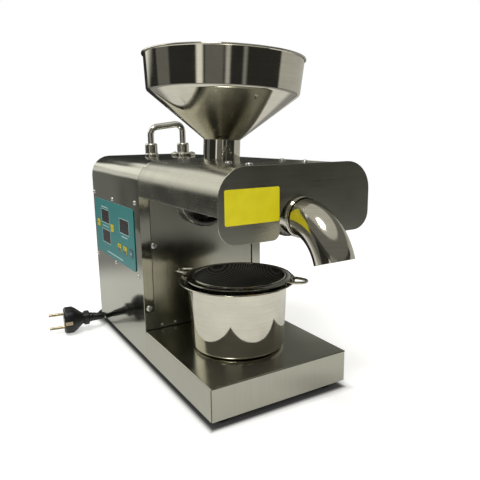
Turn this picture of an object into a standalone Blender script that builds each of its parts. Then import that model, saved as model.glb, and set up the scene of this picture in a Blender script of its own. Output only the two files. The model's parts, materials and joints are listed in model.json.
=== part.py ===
"""Screw oil press: a heated barrel with a motor-driven press screw, in a stainless cabinet.

Run with: blender --background --python part.py
Metres, +Z up. Every piece is placed in stations measured from the machine itself: X across from its middle,
Y back from the base's front face, Z up from the surface it stands on. One empty shifts them all so that the
origin lies under the middle of the machine's outline. The front faces -Y and the controls face -X.
"""

from math import atan2, ceil, cos, pi, radians, sin, tan

import bmesh
import bpy
import numpy as np
from mathutils import Matrix, Vector

# Clearance between touching pieces, and sheet thickness
GAP = 0.0003
SHEET = 0.0012

# Base tray and cabinet
BODY_WIDTH = 0.160
FOOT_HEIGHT = 0.008
BASE_HEIGHT = 0.0336
BASE_DEPTH = 0.1637
CABINET_DEPTH = 0.1869
HEAD_RISE = 0.0449
CASE_RADIUS = 0.0255
CORNER_SEAM = 0.0010
FLANGE_WIDTH = 0.012
FLANGE_FOOT = 0.0642

# Head
HEAD_OVERHANG = 0.0236
HEAD_SIDE_DEPTH = 0.0394
FRONT_PLATE_PROUD = 0.0014
FRONT_PLATE_HEIGHT = 0.0647
FRONT_PLATE_FOOT_RADIUS = 0.017
NOTCH_HALF_WIDTH = 0.0214
NOTCH_RISE = 0.0181
NOTCH_LIP_RADIUS = 0.007
RETURN_DEPTH = 0.012

# Barrel line: everything on the axis of the press screw
AXIS_HEIGHT = 0.1945
BARREL_RADIUS = 0.0200
BARREL_BORE = 0.0132
BARREL_FRONT = -0.0080
BARREL_FLANGE_RADIUS = 0.0345
BARREL_FLANGE_DEPTH = 0.0120
BARREL_FLANGE_RECESS = 0.0055
SCREW_RADIUS = 0.0127
SCREW_SETBACK = 0.0077
SCREW_NOSE = 0.0060
SHANK_REACH = 0.0180
SCREW_PITCH = 0.0160
SCREW_ROOT_REAR = 0.0065
SCREW_ROOT_FRONT = 0.0102
SHANK_RADIUS = 0.0070
SLOT_COUNT = 8
SLOT_WIDTH = 0.0012
SLOT_PITCH = 0.0055
NOZZLE_THICKNESS = 0.0040
NOZZLE_BORE = 0.0050
HEATER_STATION = 0.0285
HEATER_WIDTH = 0.0300
HEATER_THICKNESS = 0.0018

# Outlet
OUTLET_RADIUS = 0.0170
OUTLET_WALL = 0.0015
OUTLET_BEND = 0.0470
OUTLET_ANGLE = radians(71.3)
BEND_START = -0.0255
COLLAR_RADIUS = 0.0184
COLLAR_FRONT = -0.0305

# Hopper
HOPPER_SETBACK = 0.0457
NECK_RADIUS = 0.0190
NECK_RISE = 0.0213
CONE_TALL = 0.0478
HOPPER_RADIUS = 0.0806
HOPPER_RIM_RADIUS = 0.0828
HOPPER_LIP = 0.0008
RIM_TALL = 0.0375
HOPPER_WALL = 0.0010
LEDGE_RISE = 0.0040
THROAT_WALL = 0.0035
FEED_RADIUS = 0.0110

# Lifting handle
HANDLE_SETBACK = 0.1103
HANDLE_OFFSET = 0.0035
HANDLE_SPAN = 0.0460
HANDLE_ROD = 0.0041
HANDLE_HEIGHT = 0.0400
HANDLE_RISE = 0.0060
HANDLE_BEND = 0.0100
FERRULE_RADIUS = 0.0080
FERRULE_HEIGHT = 0.0165
HANDLE_FLANGE_RADIUS = 0.0165

# Gear train
MODULE_OUT = 0.0015
TEETH_OUT = 50
TEETH_PINION = 12
MODULE_IN = 0.00125
TEETH_WHEEL = 56
TEETH_MOTOR = 12
BACKLASH = 0.50
ADDENDUM = 0.85
GEAR_WIDTH = 0.0120
WHEEL_WIDTH = 0.0080
HOUSING_WALL = 0.0035
MOUNT_PLATE = 0.0060
BEARING_RADIUS = 0.0165
JOURNAL = 0.0085
LAY_SHAFT = 0.0045

# Motor
MOTOR_RADIUS = 0.0430
MOTOR_LENGTH = 0.0900
MOTOR_WALL = 0.0025
MOTOR_SHAFT = 0.0040
FAN_RADIUS = 0.0360
FAN_BLADES = 7

# Control panel on the left side
PANEL_SETBACK = 0.0990
PANEL_DROP = 0.0932
PANEL_LENGTH = 0.1587
PANEL_TALL = 0.0748
OVERLAY = 0.0008
BOARD_DEPTH = 0.0105
WINDOW = (0.0340, 0.0172)
WINDOWS = ((0.0328, 0.0155), (0.0318, -0.0117), (-0.0445, 0.0118))
KEY = (0.0120, 0.0102)
KEY_PROUD = 0.0007
KEY_TRAVEL = 0.0005
KEYS = {
    "key_level_up": (0.0635, 0.0035),
    "key_level_down": (0.0034, 0.0035),
    "key_forward": (-0.0235, -0.0172),
    "key_reverse": (-0.0453, -0.0172),
    "key_stop": (-0.0671, -0.0172),
}
BOARD_INSET = (0.00135, 0.0014)
POST_INSET = (0.0060, 0.0060)

# Catch pot and strainer
POT_SETBACK = (-0.0046, 0.0845)
POT_RADIUS_FOOT = 0.0500
POT_RADIUS_TOP = 0.0532
POT_LIP_RADIUS = 0.0624
POT_HEIGHT = 0.0737
POT_WALL = 0.0009
STRAINER_SETBACK = (-0.0013, 0.0831)
STRAINER_RADIUS = 0.0490
STRAINER_RING = 0.0085
STRAINER_DEPTH = 0.0280
STRAINER_WIRE = 0.0015
STRAINER_REACH = 0.0765
STRAINER_TURN = radians(-52.7)

# Mains cord
CORD_RADIUS = 0.0035
GLAND_PLACE = (0.045, 0.040)
COIL_PLACE = (0.006, 0.0954)
COIL_RADIUS = 0.0385
COIL_SECTION = 0.0140
PLUG_PLACE = (-0.0609, -0.0306)
PLUG_TURN = radians(-8)
PLUG_RADIUS = 0.0182
PLUG_LENGTH = 0.0338
BOOT_LENGTH = 0.0200
BOOT_RADII = (0.0066, 0.0045)
PIN_RADIUS = 0.0020
PIN_LENGTH = 0.0190
PIN_PITCH = 0.0190

# Rocker switch in the rear panel
SWITCH_PLACE = (-0.040, 0.042)
SWITCH_CUT = (0.0126, 0.0190)
ROCKER_PROUD = 0.0022

# Places worked out from the sizes above
HALF = BODY_WIDTH / 2
BASE_TOP = FOOT_HEIGHT + BASE_HEIGHT
CASE_TOP = AXIS_HEIGHT + HEAD_RISE
NOTCH_TOP = AXIS_HEIGHT + NOTCH_RISE
CABINET_FRONT = BASE_DEPTH
CABINET_BACK = BASE_DEPTH + CABINET_DEPTH
INNER_HALF = HALF - SHEET - GAP
INNER_TOP = CASE_TOP - SHEET - GAP
INNER_RADIUS = CASE_RADIUS - SHEET - GAP
PANEL_FRONT = CABINET_FRONT + SHEET + GAP
PANEL_BACK = PANEL_FRONT + SHEET
PLATE_FRONT = PANEL_BACK + GAP
PLATE_BACK = PLATE_FRONT + MOUNT_PLATE
HEAD_FRONT = -HEAD_OVERHANG
FLOOR_TOP = FOOT_HEIGHT + GAP + SHEET
OUTLET_FRONT = BEND_START - (OUTLET_BEND + OUTLET_RADIUS) * sin(OUTLET_ANGLE)
HOPPER_STATION = CABINET_FRONT - HOPPER_SETBACK
NECK_TOP = CASE_TOP + NECK_RISE
CONE_TOP = NECK_TOP + CONE_TALL
HOPPER_TOP = CONE_TOP + RIM_TALL
NECK_LEDGE = AXIS_HEIGHT + BARREL_RADIUS + LEDGE_RISE
HANDLE_STATION = CABINET_FRONT + HANDLE_SETBACK
PANEL_STATION = CABINET_FRONT + PANEL_SETBACK
POT_PLACE = (POT_SETBACK[0], CABINET_FRONT - POT_SETBACK[1])
STRAINER_PLACE = (STRAINER_SETBACK[0], CABINET_FRONT - STRAINER_SETBACK[1])
PANEL_HEIGHT = CASE_TOP - PANEL_DROP
MIDDLE = (OUTLET_FRONT + CABINET_BACK - GAP + ROCKER_PROUD) / 2
PINION_DISTANCE = MODULE_OUT * (TEETH_OUT + TEETH_PINION) / 2
MOTOR_DISTANCE = MODULE_IN * (TEETH_WHEEL + TEETH_MOTOR) / 2
LAY_HEIGHT = AXIS_HEIGHT - PINION_DISTANCE
MOTOR_HEIGHT = LAY_HEIGHT - MOTOR_DISTANCE
OUT_PLANE = PLATE_BACK + 0.0170
WHEEL_PLANE = OUT_PLANE + GEAR_WIDTH / 2 + 0.0025 + WHEEL_WIDTH / 2
HOUSING_BACK = WHEEL_PLANE + WHEEL_WIDTH / 2 + 0.0020 + 0.0070
BOARD_FACE = -HALF + BOARD_DEPTH
ALONG_Y = (-pi / 2, 0, 0)
FACING_LEFT = (pi / 2, 0, -pi / 2)
FACING_FRONT = (pi / 2, 0, 0)

STEEL = ((0.62, 0.60, 0.56), 0.30, 1.0)
POLISHED = ((0.70, 0.70, 0.70), 0.10, 1.0)
DARK_STEEL = ((0.30, 0.29, 0.28), 0.40, 1.0)
CAST = ((0.45, 0.46, 0.47), 0.55, 0.8)
BRASS = ((0.78, 0.66, 0.36), 0.28, 1.0)
RUBBER = ((0.02, 0.02, 0.02), 0.75, 0.0)
BLACK = ((0.03, 0.03, 0.035), 0.45, 0.0)
TEAL = ((0.03, 0.19, 0.19), 0.45, 0.0)
YELLOW = ((0.62, 0.54, 0.02), 0.45, 0.0)
GREY_KEY = ((0.12, 0.12, 0.15), 0.45, 0.0)
BOARD = ((0.02, 0.16, 0.06), 0.50, 0.0)
SMOKED = ((0.05, 0.04, 0.04), 0.15, 0.0)

for old in list(bpy.data.objects):
    bpy.data.objects.remove(old, do_unlink=True)

parts = bpy.data.collections.new("screw_oil_press")
cutters = bpy.data.collections.new("cutters")
for collection in (parts, cutters):
    bpy.context.scene.collection.children.link(collection)
origin = bpy.data.objects.new("press_origin", None)
origin.location = (0, -MIDDLE, 0)
parts.objects.link(origin)


def material(colour, roughness, metallic):
    """The Principled material of this finish, made once."""
    name = "finish_" + "_".join(f"{round(c * 100):02d}" for c in colour) + f"_{round(roughness * 100)}"
    found = bpy.data.materials.get(name)
    if found:
        return found
    made = bpy.data.materials.new(name)
    made.use_nodes = True
    shader = made.node_tree.nodes["Principled BSDF"]
    shader.inputs["Base Color"].default_value = (*colour, 1)
    shader.inputs["Roughness"].default_value = roughness
    shader.inputs["Metallic"].default_value = metallic
    made.diffuse_color = (*colour, 1)
    return made


def place(name, data, finish, at=(0, 0, 0), turn=(0, 0, 0)):
    """A piece under the machine's origin; a piece with no finish is a cutter."""
    piece = bpy.data.objects.new(name, data)
    piece.location = at
    piece.rotation_euler = turn
    piece.parent = origin
    if finish is None:
        piece.hide_render = True
        piece.display_type = "WIRE"
        cutters.objects.link(piece)
    else:
        piece.data.materials.append(material(*finish))
        parts.objects.link(piece)
    return piece


def from_bmesh(name, mesh, finish, at=(0, 0, 0), turn=(0, 0, 0), smooth=False):
    bmesh.ops.recalc_face_normals(mesh, faces=mesh.faces)
    data = bpy.data.meshes.new(name)
    mesh.to_mesh(data)
    mesh.free()
    if smooth:
        data.shade_smooth()
        data.set_sharp_from_angle(angle=radians(35))
    return place(name, data, finish, at, turn)


def solid(piece):
    """The piece as a plain mesh, with its modifiers and caps made real, so that it can be cut or joined."""
    graph = bpy.context.evaluated_depsgraph_get()
    data = bpy.data.meshes.new_from_object(piece.evaluated_get(graph))
    mesh = bmesh.new()
    mesh.from_mesh(data)
    bmesh.ops.remove_doubles(mesh, verts=mesh.verts, dist=1e-6)
    mesh.to_mesh(data)
    mesh.free()
    name, at, turn, drawn = piece.name, piece.location.copy(), piece.rotation_euler.copy(), piece.hide_render
    bpy.data.objects.remove(piece)
    made = bpy.data.objects.new(name, data)
    made.location, made.rotation_euler, made.parent = at, turn, origin
    made.hide_render = drawn
    if drawn:
        made.display_type = "WIRE"
    (cutters if drawn else parts).objects.link(made)
    return made


def boolean(piece, other, operation="DIFFERENCE"):
    step = piece.modifiers.new(operation.lower(), "BOOLEAN")
    step.operation = operation
    step.solver = "EXACT"
    step.object = other
    return piece


def cut(piece, *others):
    for other in others:
        boolean(piece, other)
    return piece


def joined(piece, *others):
    for other in others:
        boolean(piece, other, "UNION")
        other.hide_render = True
    return piece


def box(name, low, high, finish, at=(0, 0, 0), turn=(0, 0, 0), round_edges=0, segments=2):
    """A box between two corners, with its long edges rounded where asked."""
    mesh = bmesh.new()
    bmesh.ops.create_cube(mesh, size=1)
    low, high = Vector(low), Vector(high)
    bmesh.ops.scale(mesh, verts=mesh.verts, vec=high - low)
    bmesh.ops.translate(mesh, verts=mesh.verts, vec=(low + high) / 2)
    if round_edges:
        bmesh.ops.bevel(
            mesh, geom=mesh.edges[:], offset=round_edges, segments=segments, affect="EDGES", profile=0.5
        )
    return from_bmesh(name, mesh, finish, at, turn)


def disc(name, radius, length, finish, at, turn=(0, 0, 0), sides=32, end_radius=None):
    """A cylinder or cone frustum that starts at its place and runs along its own Z."""
    mesh = bmesh.new()
    bmesh.ops.create_cone(
        mesh, cap_ends=True, segments=sides, radius1=radius,
        radius2=radius if end_radius is None else end_radius, depth=length,
    )
    bmesh.ops.translate(mesh, verts=mesh.verts, vec=(0, 0, length / 2))
    return from_bmesh(name, mesh, finish, at, turn, smooth=True)


def profile_mesh(name, points, closed):
    data = bpy.data.meshes.new(name)
    last = len(points) if closed else len(points) - 1
    edges = [(i, (i + 1) % len(points)) for i in range(last)]
    data.from_pydata([(r, 0, z) for r, z in points], edges, [])
    return data


def turned(name, points, finish, at=(0, 0, 0), turn=(0, 0, 0), steps=36, wall=0):
    """A profile of (radius, height) points screwed round Z: a solid, or with a wall a shell inside it."""
    area = sum(a[0] * b[1] - b[0] * a[1] for a, b in zip(points, points[1:] + points[:1]))
    if area > 0 and not wall:
        points = points[::-1]
    on_axis = points[0][0] == 0 and points[-1][0] == 0
    piece = place(name, profile_mesh(name, points, closed=not wall and not on_axis), finish, at, turn)
    screw = piece.modifiers.new("turn", "SCREW")
    screw.steps = screw.render_steps = steps
    screw.use_merge_vertices = True
    screw.merge_threshold = 1e-6
    screw.use_smooth_shade = True
    if wall:
        shell = piece.modifiers.new("wall", "SOLIDIFY")
        shell.thickness = wall
        shell.offset = -1
        shell.use_even_offset = True
    return piece


def outline(name, loops, thickness, finish, at=(0, 0, 0), turn=(0, 0, 0)):
    """A flat plate of one outline with holes: a 2D curve extruded half its thickness to each side."""
    curve = bpy.data.curves.new(name, "CURVE")
    curve.dimensions = "2D"
    curve.fill_mode = "BOTH"
    curve.extrude = thickness / 2
    for loop in loops:
        spline = curve.splines.new("POLY")
        spline.points.add(len(loop) - 1)
        for point, (x, y) in zip(spline.points, loop):
            point.co = (x, y, 0, 1)
        spline.use_cyclic_u = True
    return solid(place(name, curve, finish, at, turn))


def wire(name, points, radius, finish, at=(0, 0, 0), turn=(0, 0, 0), resolution=4, caps=True, loop=False,
         thins=1.0):
    """A rod or tube of this radius along the points, which thins evenly to this share of it."""
    curve = bpy.data.curves.new(name, "CURVE")
    curve.dimensions = "3D"
    curve.bevel_depth = radius
    curve.bevel_resolution = resolution
    curve.use_fill_caps = caps
    spline = curve.splines.new("POLY")
    spline.points.add(len(points) - 1)
    for i, (point, place_at) in enumerate(zip(spline.points, points)):
        point.co = (*place_at, 1)
        point.radius = 1 - (1 - thins) * i / (len(points) - 1)
    spline.use_cyclic_u = loop
    return place(name, curve, finish, at, turn)


def arc(x, y, radius, start, end, steps):
    """Points on an arc between two angles in degrees."""
    return [
        (x + radius * cos(radians(a)), y + radius * sin(radians(a)))
        for a in np.linspace(start, end, steps + 1).tolist()
    ]


def circle(x, y, radius, sides):
    return arc(x, y, radius, 0, 360 * (sides - 1) / sides, sides - 1)


def rounded_rectangle(x, y, width, height, radius, steps=4):
    right, top = width / 2 - radius, height / 2 - radius
    corners = ((right, top, 0), (-right, top, 90), (-right, -top, 180), (right, -top, 270))
    return [p for cx, cy, a in corners for p in arc(x + cx, y + cy, radius, a, a + 90, steps)]


def smooth_route(points, count, start=0.0, end=None):
    """Points at even spacing along a smooth curve through the route's own points, between two distances."""
    route = np.array(points)
    knots = np.concatenate([[0], np.cumsum(np.linalg.norm(np.diff(route, axis=0), axis=1))])
    slopes = np.gradient(route, knots, axis=0)
    fine = []
    for i in range(len(route) - 1):
        span = knots[i + 1] - knots[i]
        for t in np.linspace(0, 1, 24, endpoint=False):
            h = (2 * t**3 - 3 * t**2 + 1, t**3 - 2 * t**2 + t, -2 * t**3 + 3 * t**2, t**3 - t**2)
            fine.append(
                h[0] * route[i] + h[1] * span * slopes[i] + h[2] * route[i + 1] + h[3] * span * slopes[i + 1]
            )
    fine = np.array(fine + [route[-1]])
    run = np.concatenate([[0], np.cumsum(np.linalg.norm(np.diff(fine, axis=0), axis=1))])
    even = np.linspace(start, run[-1] if end is None else end, count)
    return [tuple(float(np.interp(s, run, fine[:, k])) for k in range(3)) for s in even]


def arch(half_width, top, radius, foot, steps=6):
    """An inverted U in X and Z, from its left foot over the two rounded corners to its right foot."""
    left = arc(-half_width + radius, top - radius, radius, 180, 90, steps)
    right = arc(half_width - radius, top - radius, radius, 90, 0, steps)
    return [(-half_width, foot), *left, *right, (half_width, foot)]


def folded_cover(name, half_width, top, radius, foot, front, back, finish):
    """A sheet bent over the machine: an open arch pulled along Y and given its thickness inwards."""
    mesh = bmesh.new()
    verts = [mesh.verts.new((x, front, z)) for x, z in arch(half_width, top, radius, foot)]
    edges = [mesh.edges.new(pair) for pair in zip(verts, verts[1:])]
    swept = bmesh.ops.extrude_edge_only(mesh, edges=edges)
    moved = [v for v in swept["geom"] if isinstance(v, bmesh.types.BMVert)]
    bmesh.ops.translate(mesh, verts=moved, vec=(0, back - front, 0))
    for face in mesh.faces:
        centre = face.calc_center_median()
        face.normal_update()
        if face.normal.dot(Vector((centre.x, 0, centre.z - foot))) < 0:
            face.normal_flip()
    data = bpy.data.meshes.new(name)
    mesh.to_mesh(data)
    mesh.free()
    piece = place(name, data, finish)
    wall = piece.modifiers.new("sheet", "SOLIDIFY")
    wall.thickness = SHEET
    wall.offset = -1
    wall.use_even_offset = True
    return piece


def base_and_feet():
    """The folded tray under the head, the plate that closes the machine below, and its feet."""
    tray = box("base_tray", (-HALF, 0, FOOT_HEIGHT), (HALF, BASE_DEPTH - GAP, BASE_TOP), STEEL)
    hollow = box(
        "tray_hollow", (-HALF + SHEET, SHEET, 0), (HALF - SHEET, BASE_DEPTH + SHEET, BASE_TOP - SHEET), None
    )
    seams = [
        box(
            f"tray_seam_{side}",
            (x - CORNER_SEAM, SHEET * 0.35, -SHEET),
            (x + CORNER_SEAM, SHEET * 0.35 + CORNER_SEAM, BASE_TOP - SHEET),
            None,
        )
        for side, x in (("left", -HALF), ("right", HALF))
    ]
    cut(tray, hollow, *seams)
    outer = rounded_rectangle(
        0, (CABINET_BACK + SHEET) / 2, 2 * INNER_HALF, CABINET_BACK - 2 * SHEET - 3 * GAP, 0.002, 1
    )
    vents = [
        rounded_rectangle(x, CABINET_BACK - HALF, 0.004, HALF / 2, 0.0015, 1)
        for x in np.linspace(-HALF / 2, HALF / 2, 7).tolist()
    ]
    outline("bottom_plate", [outer, *vents], SHEET, DARK_STEEL, at=(0, 0, FOOT_HEIGHT + GAP + SHEET / 2))
    inset = 0.018
    corners = {
        "foot_front_left": (-HALF + inset, inset),
        "foot_front_right": (HALF - inset, inset),
        "foot_rear_left": (-HALF + inset, CABINET_BACK - inset),
        "foot_rear_right": (HALF - inset, CABINET_BACK - inset),
    }
    for name, (x, y) in corners.items():
        disc(name, 0.0095, FOOT_HEIGHT, RUBBER, (x, y, 0), sides=20, end_radius=0.0110)


def cabinet():
    """Side cover with its front flanges, and the two panels that close it."""
    cover = folded_cover(
        "cabinet_cover", HALF, CASE_TOP, CASE_RADIUS, FOOT_HEIGHT, CABINET_FRONT, CABINET_BACK, STEEL
    )
    for side, x in (("left", -HALF + SHEET / 2), ("right", HALF - SHEET / 2 - FLANGE_WIDTH + SHEET / 2)):
        flange = box(
            f"flange_{side}",
            (x, CABINET_FRONT, FLANGE_FOOT),
            (x + FLANGE_WIDTH - SHEET / 2, CABINET_FRONT + SHEET, CASE_TOP - CASE_RADIUS),
            None,
        )
        joined(cover, flange)
    cut(cover, *control_cutters())
    cut(cover, disc("handle_hole_left", HANDLE_ROD + GAP, 0.02, None, handle_foot(-1, -0.01), sides=16))
    cut(cover, disc("handle_hole_right", HANDLE_ROD + GAP, 0.02, None, handle_foot(1, -0.01), sides=16))
    inner = arch(INNER_HALF, INNER_TOP, INNER_RADIUS, BASE_TOP + GAP)
    outline(
        "front_panel", [inner, circle(0, AXIS_HEIGHT, 0.0185, 32)], SHEET, STEEL,
        at=(0, (PANEL_FRONT + PANEL_BACK) / 2, 0), turn=FACING_FRONT,
    )
    rear = arch(INNER_HALF, INNER_TOP, INNER_RADIUS, FLOOR_TOP + GAP)
    louvres = [
        rounded_rectangle(0, share * CASE_TOP, HALF, 0.0035, 0.0012, 1)
        for share in np.linspace(0.335, 0.585, 7).tolist()
    ]
    gland_x, gland_z = GLAND_PLACE
    switch = rounded_rectangle(*SWITCH_PLACE, *SWITCH_CUT, 0.0001, 1)
    outline(
        "rear_panel", [rear, *louvres, circle(gland_x, gland_z, 0.0065, 24), switch], SHEET, STEEL,
        at=(0, CABINET_BACK - SHEET / 2 - GAP, 0), turn=FACING_FRONT,
    )


def rear_fittings():
    """Rocker switch and cord gland in the rear panel."""
    face = CABINET_BACK - GAP
    x, z = SWITCH_PLACE
    width, tall = SWITCH_CUT
    body = box(
        "switch_body", (x - width / 2 + GAP, face - 0.014, z - tall / 2 + GAP),
        (x + width / 2 - GAP, face + 0.0015, z + tall / 2 - GAP), BLACK,
    )
    bezel = box(
        "switch_bezel", (x - width / 2 - 0.0012, face + GAP, z - tall / 2 - 0.0012),
        (x + width / 2 + 0.0012, face + 0.0020, z + tall / 2 + 0.0012), None,
    )
    pocket = box(
        "switch_pocket", (x - 0.0048, face - 0.0075, z - 0.0080), (x + 0.0048, face + 0.01, z + 0.0080), None
    )
    joined(body, bezel)
    cut(body, pocket)
    half = 0.0072
    rocker = [
        (-half, 0.0008), (-half, -0.0040), (0, -0.0056), (half, -0.0040), (half, ROCKER_PROUD), (0, 0.0006),
    ]
    outline(
        "switch_rocker", [[(-out, up) for up, out in rocker]], 0.0088, BLACK, at=(x, face, z),
        turn=FACING_LEFT
    )
    gland_x, gland_z = GLAND_PLACE
    turned(
        "cord_gland",
        [(CORD_RADIUS + GAP, -0.008), (0.0060, -0.008), (0.0060, GAP), (0.0085, GAP), (0.0085, 0.0030),
         (0.0062, 0.0030), (0.0045, 0.0240), (CORD_RADIUS + GAP, 0.0240)],
        RUBBER, at=(gland_x, face, gland_z), turn=ALONG_Y, steps=16,
    )


def head():
    """Cover of the overhanging head, its front plate with the notch, and the bracket that carries both."""
    underside = CASE_TOP - HEAD_SIDE_DEPTH
    cover = folded_cover(
        "head_cover", HALF, CASE_TOP, CASE_RADIUS, underside,
        HEAD_FRONT + SHEET + GAP, CABINET_FRONT - GAP, STEEL,
    )
    cut(
        cover,
        disc("neck_hole", NECK_RADIUS + 0.0010, 0.03, None, (0, HOPPER_STATION, CASE_TOP - 0.015), sides=28)
    )
    half, top = HALF + FRONT_PLATE_PROUD, CASE_TOP + FRONT_PLATE_PROUD
    radius = CASE_RADIUS + FRONT_PLATE_PROUD
    foot, lobe = top - FRONT_PLATE_HEIGHT, FRONT_PLATE_FOOT_RADIUS
    lip, notch = NOTCH_LIP_RADIUS, NOTCH_HALF_WIDTH
    right = [
        *arc(half - radius, top - radius, radius, 90, 0, 10),
        *arc(half - lobe, foot + lobe, lobe, 0, -90, 8),
        *arc(notch + lip, foot + lip, lip, 270, 180, 5),
        *arc(0, NOTCH_TOP - notch, notch, 0, 84, 9),
    ]
    left = [(-x, z) for x, z in right]
    plate = outline(
        "front_plate", [right + left[::-1]], SHEET, STEEL,
        at=(0, HEAD_FRONT + SHEET / 2, 0), turn=FACING_FRONT,
    )
    rim = folded_cover(
        "plate_return", INNER_HALF, INNER_TOP, INNER_RADIUS, underside + GAP,
        HEAD_FRONT + SHEET / 2, HEAD_FRONT + SHEET + RETURN_DEPTH, None,
    )
    joined(plate, rim)
    leg_front, leg_back, leg_half = 0.0050, 0.0520, 0.0400
    saddle = BARREL_RADIUS + GAP
    leg = [
        *arc(0, AXIS_HEIGHT, saddle, 0, 180, 16),
        (-leg_half, AXIS_HEIGHT), (-leg_half, INNER_TOP - SHEET), (leg_half, INNER_TOP - SHEET),
        (leg_half, AXIS_HEIGHT),
    ]
    bridge = box(
        "head_bracket", (-leg_half, leg_front, INNER_TOP - 2 * SHEET),
        (leg_half, leg_back, INNER_TOP - GAP), DARK_STEEL
    )
    for end, y in (("front", leg_front + SHEET / 2), ("back", leg_back - SHEET / 2)):
        joined(bridge, outline(f"bracket_leg_{end}", [leg], SHEET, None, at=(0, y, 0), turn=FACING_FRONT))


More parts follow.
